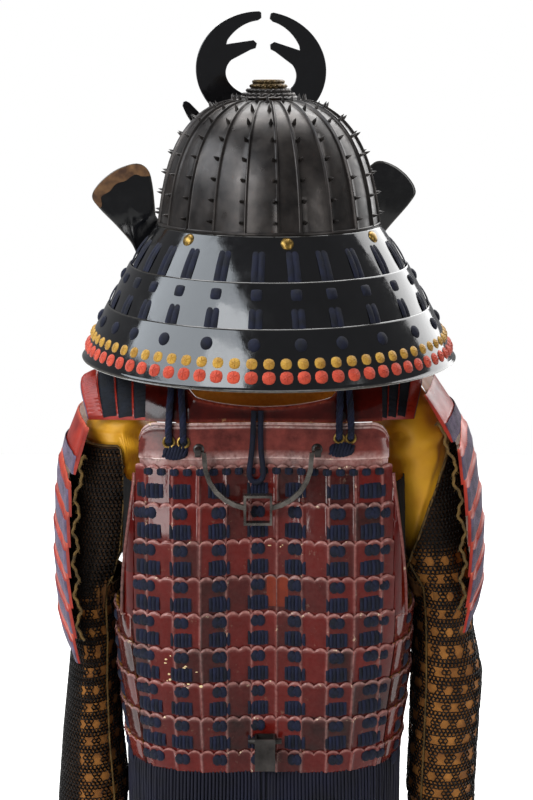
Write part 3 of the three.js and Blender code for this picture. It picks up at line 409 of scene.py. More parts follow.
PURPLE = cloth_look("plum_grey_lacing", 0x352A3C, 0x66566F, 1900, edge=0xA79A9A)
GOLD_SILK = cloth_look("gold_silk_knots", 0x8E6418, 0xC49A3A, 1900, 0.6)
RED_SILK = cloth_look("red_silk_knots", 0x9A2E1A, 0xCC4E32, 1900, 0.65)
SATIN = cloth_look("ochre_satin_cloth", 0xC68A1A, 0xDCA426, 1500, 0.46, 0.2, 0.08, patch=40)
ARMHOLE_SHADE_CLOTH = cloth_look("dark_lining_cloth", 0x040303, 0x0E0A08, 1100, 1.0, 0.0, patch=60)
# Its dark edge colour is painted shade, laid on the cloth under the close mail.
WINDOW = cloth_look("sleeve_lining_cloth", 0x6E421A, 0xB27634, 1100, 0.85, 0.02, edge=0x140C06, patch=60)
BRAID = cloth_look("frayed_gold_braid", 0x33260F, 0x7A5C2A, 1300, 0.75, 0.05)
LEATHER = cloth_look("worn_tan_leather", 0x3E2616, 0x84603C, 600, 0.6, 0.0, 0.15)


def brass_look(name, dark, light):
    look = Look(name, rough=0.34, metal=0.85)
    look.base(look.ramp(look.noise(300, 5), (0.3, colour(dark)), (0.7, colour(light))))
    look.bump(look.noise(700, 3), 0.15, 0.2)
    return look.material


BRASS = brass_look("aged_brass", 0x5A4420, 0xA88844)
STEEL = iron_look("polished_steel", 0x3A3633, 0x7E7871, 0x4A3C32, 0.28, 0.85)
GILT_WORN = brass_look("worn_gilt", 0x241C10, 0x57462A)


# Camera first, then the free cord

def make_camera():
    data = bpy.data.cameras.new("camera")
    data.sensor_width = SENSOR
    data.lens = FOCAL_PX / FRAME_PX * SENSOR
    camera = bpy.data.objects.new("camera", data)
    camera.location = CAMERA_AT
    camera.rotation_euler = (math.pi / 2 - CAMERA_PITCH, 0, 0)
    bpy.context.scene.collection.objects.link(camera)
    bpy.context.scene.camera = camera


make_camera()

# The body's outline: height, half width, depth behind and before, squareness behind, spine groove.
BODY = [
    (44, 136, 66, 60, 5, 0),
    (20, 140, 91, 84, 5, 3),
    (-40, 142, 105, 108, 5, 8),
    (-110, 144, 112, 118, 4.6, 12),
    (-190, 147, 112, 120, 4, 12),
    (-265, 146, 108, 117, 3.4, 9),
    (-355, 138, 102, 108, 3.1, 5),
    (-440, 138, 110, 116, 2.8, 0),
    (-660, 152, 138, 144, 2.5, 0),
]
BACK_PANEL = [(0, 117), (-75, 120), (-215, 124), (-355, 114)]


def body_outline(angle, z):
    """Across and depth of the body's outline at an angle, 0 being the middle of the back."""
    behind = math.cos(angle) > 0
    power = 2 / (table(BODY, 4, z) if behind else 2.5)
    x = table(BODY, 1, z) * signed_power(math.sin(angle), power)
    y = -table(BODY, 2 if behind else 3, z) * signed_power(math.cos(angle), power)
    if behind and abs(x) < 76:
        y += table(BODY, 5, z) * (1 + math.cos(math.pi * x / 76)) / 2
    return x, y


def body_point(angle, z, off=0.0):
    """A point at a distance off the body."""
    x, y = body_outline(angle, z)
    (ax, ay), (bx, by) = body_outline(angle + 0.01, z), body_outline(angle - 0.01, z)
    length = math.hypot(ax - bx, ay - by)
    return Vector((x + (ay - by) / length * off, y - (ax - bx) / length * off, z))


def back_angle(half, z):
    """The angle where the back is so far from its middle."""
    return math.asin(clamp(half / table(BODY, 1, z)) ** (table(BODY, 4, z) / 2))


def back_point(x, z, off=0.0):
    """A point of the back, found by its distance across."""
    return body_point(math.copysign(back_angle(abs(x), z), x), z, off)


def even_angles(z, start, end, count):
    """Angles that cut the body's outline into equal lengths."""
    fine = 360
    angles = spread(fine, start, end)
    spots = [body_outline(a, z) for a in angles]
    lengths = [0.0]
    for p, q in zip(spots, spots[1:]):
        lengths.append(lengths[-1] + math.dist(p, q))
    result, i = [], 1
    for t in spread(count):
        target = t * lengths[-1]
        while i < fine and lengths[i] < target:
            i += 1
        share = (target - lengths[i - 1]) / max(1e-9, lengths[i] - lengths[i - 1])
        result.append(lerp(angles[i - 1], angles[i], share))
    return result


# The middle cord's way down the yoke and back up: across, height, distance off the body
MIDDLE_ROUTE = [
    (-9.5, 10, 6.6), (-9.8, 2, 6.6), (-10.2, -8, 6.6), (-10.8, -20, 6.6), (-12, -32, 7),
    (-13.4, -42, 7.6), (-13.8, -50, 7.4), (-11.4, -55.4, 7), (-7, -57, 6.9), (-2.4, -54.6, 7),
    (-0.6, -49, 7.4), (-1.2, -40, 7.6), (-2.4, -30, 7), (-3, -18, 6.6), (-3, -7, 6.6),
    (-3, 2, 6.6), (-3, 10, 6.6),
]


def curve_piece(name, points, diameter, material, replaces):
    """A round cord along points in the drawing's millimetres."""
    data = bpy.data.curves.new(name, "CURVE")
    data.dimensions = "3D"
    data.bevel_depth = diameter / 2 * MM
    data.bevel_resolution = 4
    data.use_fill_caps = True
    spline = data.splines.new("POLY")
    spline.points.add(len(points) - 1)
    for spot, p in zip(spline.points, points):
        spot.co = (*(SUIT @ p), 1)
    data.materials.append(material)
    piece = bpy.data.objects.new(name, data)
    bpy.context.scene.collection.objects.link(piece)
    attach(piece, "armour")
    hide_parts(replaces)
    return piece


def catmull(points, steps):
    """A smooth line through points."""
    ends = [points[0] * 2 - points[1], *points, points[-1] * 2 - points[-2]]
    line = []
    for a, b, c, d in zip(ends, ends[1:], ends[2:], ends[3:]):
        for k in range(steps):
            t = k / steps
            second, third = 2 * a - 5 * b + 4 * c - d, 3 * b - a - 3 * c + d
            line.append(0.5 * (2 * b + (c - a) * t + second * t * t + third * t ** 3))
    line.append(points[-1])
    return line


middle_line = catmull([back_point(*row) for row in MIDDLE_ROUTE], 4)
middle_length = sum((a - b).length for a, b in zip(middle_line, middle_line[1:])) * MM
middle_cord = curve_piece("middle_cord_silk", middle_line, 5.4, NAVY, "middle_cord")


# Lacing shared by the cuirass, the neck guard and the tassets. at(across, up, off) is a point near it.

STRAND_CORNER, STRAND_FILL = 0.22, 0.96


def strands(skin, at, width, height, count, rise):
    """Side by side flat laces, each rising from the plate, crossing it and going back in."""
    step = width / count
    for k in range(count):
        middle = -width / 2 + step * (k + 0.5)
        share = abs(2 * middle / width)
        tall = height * (1 - STRAND_CORNER * share ** 4)
        lines = []
        for across in (-0.5, -0.25, 0.0, 0.25, 0.5):
            x = middle + across * step * STRAND_FILL
            lift = rise * (1 - (2 * across) ** 2 * 0.5) * (1 - 0.35 * share ** 3)
            line = []
            for t in spread(7):
                line.append(at(x, tall * (0.5 - t), lift * math.sin(math.pi * t) ** 0.6 - 0.2))
            lines.append(line)
        skin.wall(lines, 0, [[0.3 if k % 2 else 0.0] * 8 for _ in lines], loop=False)


def round_knot(skin, at, width, height, rise):
    """A round knot of two turns lying close together, with a third over them."""
    for shift, share, tone in ((-0.2, 0.64, 0.0), (0.2, 0.64, 0.2), (0.0, 0.6, 0.1)):
        def lobe(across, up, off, shift=shift):
            return at(across + shift * width, up, off)

        tall = height * (1.0 if shift else 0.72)
        lift = rise * (0.9 if shift else 1.05)
        skin.dome(lobe, width * share, tall, lift, 0, 10, 4, tone=tone, square=2.3)


# CUIRASS

ROWS, ROW_PITCH, FIRST_TOP, HEM = 9, 36.15, -40.5, -354.5
ROW_LAP, FACE_TOP, FACE_FOOT = 6, 4.2, 1.2
LACE_COLUMNS = (-112.4, -79.2, -43.2, -6, 30.5, 69.8, 102)
SCALLOP, SCALLOP_HEIGHT, SCALLOP_FADE = 12.25, 4.0, 9

# Width, height and rise of the lacing's knots, and of its groups with the count of laces
KNOT, OUTER_KNOT, BODY_KNOT = (14, 12, 3.2), (9, 10.5, 2.6), (13, 11, 2.4)
BODY_LACES = (17, 14, 6, 1.5)


def near_back(x, z, off):
    """Places things on the back by their distance across and up from a point."""
    return lambda across, up, rise: back_point(x + across, z + up, off + rise)


def scale_relief(x):
    """Raised seam at each scale's edge, and a slight step between neighbours."""
    seam = (x / (2 * SCALLOP) + 0.5) % 1.0
    edge = min(seam, 1 - seam) * 2 * SCALLOP
    return 1.5 * math.exp(-((edge / 1.4) ** 2)) + 0.8 * (1 - seam) - 0.4


def seam_highlight_tone(x):
    """Painted highlight along the raised seams, shown in the lacquer's rim colour."""
    seam = (x / (2 * SCALLOP) + 0.5) % 1.0
    return 0.55 * math.exp(-((min(seam, 1 - seam) * 2 * SCALLOP / 1.1) ** 2))


def scallop(x, drop):
    """How far the edge dips between two humps. The dips fade out below the edge."""
    hump = SCALLOP_HEIGHT * (1 - abs(math.sin(math.pi * x / SCALLOP)) ** 0.6)
    return hump * max(0.0, 1 - drop / SCALLOP_FADE)


def lame_lift(x, z):
    """How far a lame's face stands off the body at a point."""
    t = ((FIRST_TOP - z) % ROW_PITCH) / (ROW_PITCH + ROW_LAP)
    return lerp(FACE_TOP, FACE_FOOT, t) + scale_relief(x)


def back_lame(row):
    top = FIRST_TOP - row * ROW_PITCH
    last = row == ROWS - 1
    bottom = HEM if last else top - ROW_PITCH - ROW_LAP
    half = table(BACK_PANEL, 1, top) + 1
    xs = spread(200, -half, half)
    skin = Skin()
    lines, tones, slots = [], [], []

    def level(drop, off_at, tone):
        edge = table(BACK_PANEL, 1, top - drop) + 1
        scale = edge / half
        lines.append([back_point(x * scale, top - drop - scallop(x, drop), off_at(x)) for x in xs])
        tones.append([max(tone, seam_highlight_tone(x)) for x in xs])
        slots.append(0)

    depth = top - bottom
    # High tones along the top edge paint the rim colour: worn lacquer with a painted highlight.
    level(0.4, lambda x: 1.6, 1.0)
    level(-0.2, lambda x: 2.3 + 0.5 * scale_relief(x), 1.0)
    level(0.1, lambda x: 3.4 + 0.6 * scale_relief(x), 1.0)
    for t in (0.03, 0.07, 0.13, 0.2, 0.3, 0.42, 0.55, 0.7, 0.85, 0.97):
        fade = 0.85 if t < 0.06 else (0.25 if t < 0.1 else 0.05)
        level(t * depth, lambda x, t=t: lerp(FACE_TOP, FACE_FOOT, t) + scale_relief(x), fade)
    level(depth - 0.3, lambda x: 0.6, 0.2)
    level(depth, lambda x: -1.0, 0.0)
    level(4, lambda x: 1.4, 0.0)
    slots[-2:] = [1, 1]
    skin.wall(lines, slots, tones)
    skin.make(f"back_row_{row + 1}", [RED, GOLD_INSIDE], f"back_lame_{row + 1}", "red_lacquer", sharp=50)


def back_lacing():
    knots, laces = Skin(), Skin()
    for row in range(ROWS):
        top = FIRST_TOP - row * ROW_PITCH
        half = table(BACK_PANEL, 1, top)
        for i, column in enumerate(LACE_COLUMNS):
            edge = i in (0, len(LACE_COLUMNS) - 1)
            x = math.copysign(min(abs(column), half - 12), column)
            if row == 0:
                strands(laces, near_back(x, top - 24.7, 3.0), 24 if edge else 20, 15, 6, 3.0)
                continue
            round_knot(knots, near_back(x, top - 9.6, 3.8), *KNOT)
            if row < ROWS - 1:
                strands(laces, near_back(x, top - 27.6, 2.8), 22 if edge else 20, 15.5, 6, 3.0)
            if edge:
                outer = math.copysign(min(abs(x) + 12, half - 3), x)
                round_knot(knots, near_back(outer, top - 10.5, 3.6), *OUTER_KNOT)
    knots.make("back_knots", [NAVY], slot="navy_silk")
    laces.make("back_laces", [NAVY], slot="navy_silk")


def worn_scale():
    """One scale in the fourth row is a lighter orange."""
    top, skin = FIRST_TOP - 3 * ROW_PITCH, Skin()
    xs = spread(18, 2.6, 23.8)
    drops = (1.2, 3, 6, 11, 18, 25, 32)
    lines = []
    for drop in drops:
        line = []
        for x in xs:
            line.append(back_point(x, top - drop - scallop(x, drop), lame_lift(x, top - drop) + 0.3))
        lines.append(line)
    skin.wall(lines, 0, [[0.5 if i == 0 else 0.0] * len(xs) for i in range(len(drops))], loop=False)
    skin.make("worn_scale", [OLD_ORANGE], slot="red_lacquer")


def lost_flakes():
    """Small places where the lacquer has come off and the pale ground shows."""
    skin = Skin()
    spots = [(random.uniform(-96, -60), random.uniform(-262, -206)) for _ in range(15)]
    spots += [(random.uniform(4, 26), random.uniform(-1, 5) - 120) for _ in range(3)]
    for x, z in spots:
        at = near_back(x, z, lame_lift(x, z) + 0.1)
        wide, tall = random.uniform(1.4, 4.2), random.uniform(1.0, 3.0)
        skin.dome(at, wide, tall, 0.35, 0, 6, 2, turn=random.random())
    skin.make("lost_flakes", [PALE_GROUND], slot="red_lacquer")


for row in range(ROWS):
    back_lame(row)
worn_scale()
lost_flakes()
back_lacing()


def back_plate():
    top, step, bottom, corner = -1.6, -35.0, -46.0, 16.0
    half = table(BACK_PANEL, 1, top)
    xs = spread(120, -half, half)

    def upper(x):
        into = clamp((abs(x) - (half - corner)) / corner)
        return top - corner * (1 - math.sqrt(1 - into * into * 0.98))

    skin = Skin()
    heights = [
        (lambda x: upper(x) - 0.2, 1.2),
        (lambda x: upper(x) + 0.1, 2.4),
        (lambda x: upper(x) - 1.2, 3.6),
        (lambda x: upper(x) - 2.6, 2.8),
        (lambda x: upper(x) - 4.2, 3.5),
        (lambda x: upper(x) - 5.8, 2.7),
        (lambda x: lerp(upper(x), step, 0.4), 3.3),
        (lambda x: lerp(upper(x), step, 0.75), 3.4),
        (lambda x: step + 1.6, 3.4),
        (lambda x: step, 3.0),
        (lambda x: step - 0.5, 1.4),
        (lambda x: bottom, 1.2),
        (lambda x: bottom, -0.8),
        (lambda x: lerp(upper(x), bottom, 0.5), -0.6),
    ]
    lines = [[back_point(x, z(x), off) for x in xs] for z, off in heights]
    # High tones at the rim and the step paint the rim colour: worn lacquer with a painted highlight.
    tones = [[t] * len(xs) for t in (0.3, 0.9, 0.7, 0.1, 0.5, 0.0, 0.0, 0.0, 0.3, 0.7, 0.3, 0.0, 0.0, 0.0)]
    skin.wall(lines, [0] * 11 + [1, 1, 1], tones)
    skin.make("back_plate_lacquer", [PLATE_RED_PAINTED_SHEEN, GOLD_INSIDE], "back_plate", "red_lacquer", sharp=45)


back_plate()

YOKE_HALF = 111


def yoke_edge(x):
    x = abs(x)
    if x < 64:
        return 13 + 9 * (x / 64) ** 2
    return lerp(22, 33.6, clamp((x - 64) / 12))


def yoke():
    xs = spread(110, -YOKE_HALF, YOKE_HALF)
    skin = Skin()
    heights = [(0, 1.2), (-0.2, 3.0), (-0.9, 3.9), (-2.6, 4.1), (-4.2, 3.5), (-8, 3.3)]
    lines = [[back_point(x, yoke_edge(x) + drop, off) for x in xs] for drop, off in heights]
    for z, off in ((3, 3.3), (-0.7, 3.2), (-0.8, 1.3), (5, 1.2)):
        lines.append([back_point(x, z, off) for x in xs])
    tones = [[t] * len(xs) for t in (0.4, 1.0, 0.8, 0.4, 0.1, 0.0, 0.0, 0.5, 0.0, 0.0)]
    skin.wall(lines, [0] * 7 + [1, 1, 1], tones)
    skin.make("yoke_lacquer", [RED_DARK, GOLD_INSIDE], "back_yoke", "red_lacquer", sharp=45)


yoke()


def upper_row_lacing():
    """The row of small squares over the first scalloped row."""
    skin = Skin()
    half = table(BACK_PANEL, 1, FIRST_TOP) - 3
    pitch = 12
    count = int(2 * half / pitch)
    for k in range(count):
        x = (k - (count - 1) / 2) * pitch
        skin.dome(near_back(x, FIRST_TOP - 6.2, 4.6), 8.2, 7.0, 1.6, 0, 12, 3, square=6)
        strands(skin, near_back(x, FIRST_TOP - 6.2, 5.9), 6.4, 5.6, 3, 0.7)
    skin.make("upper_row_squares", [NAVY], slot="navy_silk")


upper_row_lacing()


# Across and height of the knots and lugs, and the size of each eyelet too
EYELETS = ((-88.8, -16.5, 5.0), (-75.5, -16.5, 5.0), (70.7, -12.7, 4.2), (81.4, -12.7, 4.2))
OVAL_KNOTS = ((-83, -28.5), (73.3, -25.6))
LUGS, LUG_HEIGHT = (-61.5, 50.5), -25.5


def fittings():
    """Eyelets, the oval knots under them, and the barrels and stems of the hinge lugs."""
    gilt, silk, iron = Skin(), Skin(), Skin()
    for x, z, size in EYELETS:
        at = near_back(x, z - 2.4, 3.3)
        ring = [at(size * math.cos(a), size * math.sin(a), 1.0) for a in spread(20, 0, TAU)[:-1]]
        gilt.tube(ring, 1.35, 8, closed=True)
        gilt.dome(at, 2 * size, 2 * size, 0.4, 1, 12, 2)
    for x, z in OVAL_KNOTS:
        at = near_back(x, z, 3.4)
        silk.dome(at, 24, 13.5, 3.4, 0, 16, 4, square=2.3)
        for shift in (-9, -6, -3, 0, 3, 6, 9):
            reach = 6.4 * math.sqrt(1 - (shift / 11.5) ** 2)
            path = []
            for t in spread(6, -1, 1):
                path.append(at(shift + 2 * t, reach * t, 3.3 * math.sqrt(max(0.05, 1 - t * t)) + 0.4))
            silk.tube(path, 1.6, 6, flat=0.6, tone=0.15)
    for x in LUGS:
        at = near_back(x, LUG_HEIGHT, 3.3)
        iron.dome(at, 11, 11, 1.6, 0, 14, 3)
        centre = Vector((x, -117, LUG_HEIGHT))
        barrel = [centre + Vector((s, 0, 0)) for s in (-3, -2.4, 2.4, 3)]
        iron.tube(barrel, lambda t: 3.9 if t in (0, 1) else 4.5, 16)
        stem = [centre + Vector((0, s, 0)) for s in (2, 7, 13)]
        iron.tube(stem, lambda t: 2.6 + 0.8 * t, 10)
    gilt.make("eyelets", [BRASS, NAVY_DARK], slot="russet_iron")
    silk.make("oval_knots", [NAVY], slot="navy_silk")
    iron.make("hinge_lugs", [IRON_FITTING], slot="russet_iron")


fittings()

# Cords from the eyelets over the straps' feet: where both legs stand, and the eyelets' height
STRAP_CORDS = {
    "left": (-88.8, -75.5, -16.5),
    "right": (81.4, 70.7, -12.7),
}


def strap_cord(hand):
    a, b, low = STRAP_CORDS[hand]
    middle = (a + b) / 2

    def leg(x):
        return [
            (x, low - 2, 5.6),
            (x, low + 4, 7.0),
            (x, low + 12, 7.1),
            (lerp(x, middle, 0.1), low + 26, 7.2),
            (lerp(x, middle, 0.25), low + 40, 7.4),
            (lerp(x, middle, 0.4), 33, 9),
        ]

    route = [*leg(a), (middle, 38, 11.5), *reversed(leg(b))]
    line = catmull([back_point(*row) for row in route], 8)
    skin = Skin()
    # Four strands twisted together.
    for k in range(4):
        path = []
        for i, p in enumerate(line):
            turn = i * 0.42 + k * TAU / 4
            along = (line[min(i + 1, len(line) - 1)] - line[max(i - 1, 0)]).normalized()
            side = along.cross(Vector((0, -1, 0.3))).normalized()
            path.append(p + side * (1.5 * math.cos(turn)) + along.cross(side) * (1.5 * math.sin(turn)))
        skin.tube(path, 1.95, 7, tone=0.12 * k)
    skin.make(f"strap_cord_silk_{hand}", [NAVY], f"strap_cord_{hand}", "navy_silk")


for hand in STRAP_CORDS:
    strap_cord(hand)


# FRONT AND SIDES: the same rows of scales carried round the body

# Tops of the rows round the body, and of those across the breast
ROUND_TOPS = [FIRST_TOP - row * ROW_PITCH for row in (4.2, 5, 6, 7, 8)]
BREAST_TOPS = [FIRST_TOP - row * ROW_PITCH for row in (1, 2, 3)]
ROUND_COLUMNS, BREAST_COLUMNS, COLUMNS_A_KNOT = 250, 110, 19
BREAST_FOOT, BREAST_HALF = -75.5, 0.62


def scale_band(skin, columns_at, top, bottom, high=3.6, low=1.0, inside=-1.2):
    """One row of scales round the body, ten columns to a scale. columns_at(z) gives the angles."""
    lines, tones, slots = [], [], []

    def level(z, off_at, tone, slot=0, depth=0.0):
        angles = columns_at(z)
        line = []
        for i, angle in enumerate(angles):
            wave = depth * (1 - abs(math.sin(math.pi * i / 5)) ** 0.55)
            line.append(body_point(angle, z - wave, off_at(i)))
        lines.append(line)
        tones.append([tone] * len(angles))
        slots.append(slot)

    def seam(i):
        place = (i / 10) % 1.0
        return 0.9 * math.exp(-((min(place, 1 - place) * 24 / 1.9) ** 2)) + 0.4 * (1 - place) - 0.2

    # High tones at the row's top paint the rim colour: worn lacquer with a painted highlight.
    level(top - 0.4, lambda i: high - 2, 1.0, depth=2.8)
    level(top, lambda i: high - 0.6, 1.0, depth=2.8)
    for t in (0.03, 0.09, 0.2, 0.4, 0.7, 0.97):
        z = lerp(top, bottom, t)
        tone = 0.8 if t < 0.05 else 0.1
        level(z, lambda i, t=t: lerp(high, low, t) + seam(i), tone, depth=2.8 * max(0, 1 - t * 5))
    level(bottom, lambda i: low - 0.6, 0.2)
    level(bottom, lambda i: inside, 0.0, 1)
    level(top - 3, lambda i: inside, 0.0, 1)
    skin.wall(lines, slots, tones)


def around(z):
    """Angles from one edge of the back panel, over the front, to the other."""
    start = back_angle(table(BACK_PANEL, 1, z) + 2.6, z)
    return even_angles(z, start, TAU - start, ROUND_COLUMNS)


def over_breast(z):
    """Angles of the breast rows, which narrow towards the neck."""
    half = lerp(0.95, BREAST_HALF, clamp((z + 190) / 140))
    return even_angles(z, math.pi - half, math.pi + half, BREAST_COLUMNS)


def near_angle(angle, z, off, radius=120):
    """Places things on the body by their distance across and up from a point."""
    return lambda across, up, rise: body_point(angle + across / radius, z + up, off + rise)


def beside_panel(skin, side, heights, steps_at):
    """A strip along the back panel's edge. steps_at(share) gives its section: reach and distance off."""
    lines = []
    for z, share in zip(heights, spread(len(heights) - 1)):
        start = back_angle(table(BACK_PANEL, 1, z), z)
        steps = steps_at(share)
        lines.append([body_point(side * (start + reach / 118), z, off) for reach, off in steps])
    skin.wall(lines, 0, loop=False)
    return [line[-1] for line in lines]


def armhole_edge(share):
    """Section of the smooth strip that widens downwards from a point beside the back panel."""
    width = 5 + 24 * smooth(share * 1.15) ** 0.8
    return [(-7, -2.4), (-2, -1.6), (2.5, 1.0), (4, 2.8), (lerp(4, width, 0.5), 3.6), (width, 3.0)]


def front_rows():
    skin = Skin()
    for top, below in zip(ROUND_TOPS, [*ROUND_TOPS[1:], HEM + 2]):
        scale_band(skin, around, top, below - 2)
    for side in (-1, 1):
        edge = beside_panel(skin, side, spread(24, -50, ROUND_TOPS[0] - 4), armhole_edge)
        skin.tube(edge, 1.9, 8, tone=0.4)
        beside_panel(skin, side, spread(30, -50, HEM + 1), lambda share: ((-8, -2.2), (0, -2.0), (7, -2.0)))
    for top, below in zip(BREAST_TOPS, [*BREAST_TOPS[1:], ROUND_TOPS[0] - 6]):
        scale_band(skin, over_breast, top, below - 2)
    skin.make("front_rows", [RED, GOLD_INSIDE], "front_shell", "red_lacquer", sharp=50)


def front_lacing():
    silk = Skin()
    for tops, columns_at, first, count in (
        (ROUND_TOPS, around, 9, ROUND_COLUMNS),
        (BREAST_TOPS, over_breast, 8, BREAST_COLUMNS),
    ):
        for i, top in enumerate(tops):
            angles = columns_at(top)
            for k in range(first, count, COLUMNS_A_KNOT):
                round_knot(silk, near_angle(angles[k], top - 10.5, 3.2), *BODY_KNOT)
                if i or tops is BREAST_TOPS:
                    strands(silk, near_angle(angles[k], top - 26, 2.4), *BODY_LACES)
    silk.make("front_lacing", [NAVY], slot="navy_silk")


def breast_plate():
    plate = Skin()
    offs = spread(60, -BREAST_HALF, BREAST_HALF)

    def neck(off):
        return -10 + 4 * math.cos(off / BREAST_HALF * math.pi / 2) ** 2

    levels = [
        (neck, 2.4, 0.8),
        (lambda o: neck(o) - 0.6, 4.6, 1.0),
        (lambda o: neck(o) - 3, 4.6, 0.4),
        (lambda o: neck(o) - 6, 4.0, 0.0),
        (lambda o: lerp(neck(o), BREAST_FOOT, 0.6), 4.0, 0.0),
        (lambda o: BREAST_FOOT + 0.9, 4.0, 0.2),
        (lambda o: BREAST_FOOT, 3.4, 0.6),
        (lambda o: BREAST_FOOT, 2.0, 0.0),
        (lambda o: lerp(neck(o), BREAST_FOOT, 0.4), 2.0, 0.0),
    ]
    lines = [[body_point(math.pi + o, z(o), off) for o in offs] for z, off, _ in levels]
    tones = [[tone] * len(offs) for _, _, tone in levels]
    plate.wall(lines, [0] * 7 + [1, 1], tones)
    plate.make("breast_plate_lacquer", [RED, GOLD_INSIDE], "breast_plate", "red_lacquer", sharp=45)


front_rows()
front_lacing()
breast_plate()

# A strap's way over the shoulder, from back to front, and its section from the neck outwards
STRAP_PATH = [
    (-78.5, 37.6), (-62, 43), (-38, 47.5), (-8, 49), (22, 46.5), (52, 36), (74, 20), (90, 0), (101, -17),
]
STRAP_SECTION = [
    (66, 1.2), (66.6, 0.0), (69, -0.8), (72, -0.9), (80, -1.9), (87.5, -2.3), (95, -1.9), (103, -0.9),
    (106, -0.8), (108.4, 0.0), (109, 1.2), (109, 2.6), (107.5, 3.4), (87, 3.4), (67.5, 3.4), (66, 2.6),
]
STRAP_SLOTS = [1, 1, 1, 0, 0, 0, 0, 1, 1, 1, 1, 1, 2, 2, 1, 1]


def strap(side, hand):
    line = catmull([Vector((0, y, z)) for y, z in STRAP_PATH], 6)
    skin = Skin()

    def across(x, depth):
        row = []
        for i, p in enumerate(line):
            along = (line[min(i + 1, len(line) - 1)] - line[max(i - 1, 0)]).normalized()
            row.append(Vector((side * x, p.y + along.z * depth, p.z - along.y * depth)))
        return row

    skin.wall([across(x, d) for x, d in STRAP_SECTION], STRAP_SLOTS)
    looks = [RED_DARK, LEATHER, GOLD_INSIDE]
    skin.make(f"strap_leather_{hand}", looks, f"strap_{hand}", "red_lacquer", sharp=60)


strap(-1, "left")
strap(1, "right")


# HELMET: bowl, crown fitting, neck guard, wings, peak and crest

BOWL_HALF, BOWL_LENGTH, BOWL_HEIGHT, HOLE = 107.0, 120.0, 118.0, 15.0


def bowl_side():
    spots = []
    for t in spread(400):
        a = t * math.pi / 2
        rise = math.sin(a) ** (2 / 3)
        share = math.cos(a) ** (2 / 3) * (1 - 0.15 * rise)
        if share >= HOLE / BOWL_HALF:
            spots.append((share, BOWL_HEIGHT * rise))
    lengths = [0.0]
    for p, q in zip(spots, spots[1:]):
        lengths.append(lengths[-1] + math.hypot((q[0] - p[0]) * BOWL_HALF, q[1] - p[1]))
    return spots, lengths


SIDE_SPOTS, SIDE_LENGTHS = bowl_side()
SIDE = SIDE_LENGTHS[-1]


def side_at(s):
    s = clamp(s, 0, SIDE)
    low, high = 0, len(SIDE_LENGTHS) - 1
    while high - low > 1:
        middle = (low + high) // 2
        if SIDE_LENGTHS[middle] < s:
            low = middle
        else:
            high = middle
    t = (s - SIDE_LENGTHS[low]) / (SIDE_LENGTHS[high] - SIDE_LENGTHS[low])
    p, q = SIDE_SPOTS[low], SIDE_SPOTS[high]
    return lerp(p[0], q[0], t), lerp(p[1], q[1], t)


def bowl_point(degrees, s, off=0.0):
    a = math.radians(degrees)
    low, high = side_at(s - 1), side_at(s + 1)
    rise = math.atan2(high[1] - low[1], (low[0] - high[0]) * BOWL_HALF)
    share, height = side_at(s)
    out = off * math.sin(rise)
    return Vector(
        (
            (BOWL_HALF * share + out) * math.sin(a),
            -(BOWL_LENGTH * share + out) * math.cos(a),
            height + off * math.cos(rise),
        )
    )


def per_mm(s):
    """Degrees for each millimetre round the bowl at a distance up its side."""
    return math.degrees(1 / (BOWL_HALF * side_at(s)[0]))


# Ridges, in degrees from the middle of the back, eleven to a side
RIDGE_FIRST, RIDGE_STEP = 5.65, 16.6
RIDGES = sorted(side * (RIDGE_FIRST + RIDGE_STEP * k) for side in (-1, 1) for k in range(11))


# Section across a ridge: distance from its middle and height
RIDGE_SECTION = [
    (-1.9, 0.0), (-1.2, 0.5), (-0.8, 1.9), (-0.3, 2.6), (0.3, 2.6), (0.8, 1.9), (1.2, 0.5), (1.9, 0.0),
]

# The bowl's foot, from its outside under the rim to its inside: how far out, and the height
BOWL_FOOT = [(1.6, 1.2), (2.2, 0.4), (2.2, -1.0), (1.6, -1.7), (-0.6, -1.7), (-0.6, -12), (-2.4, -12)]


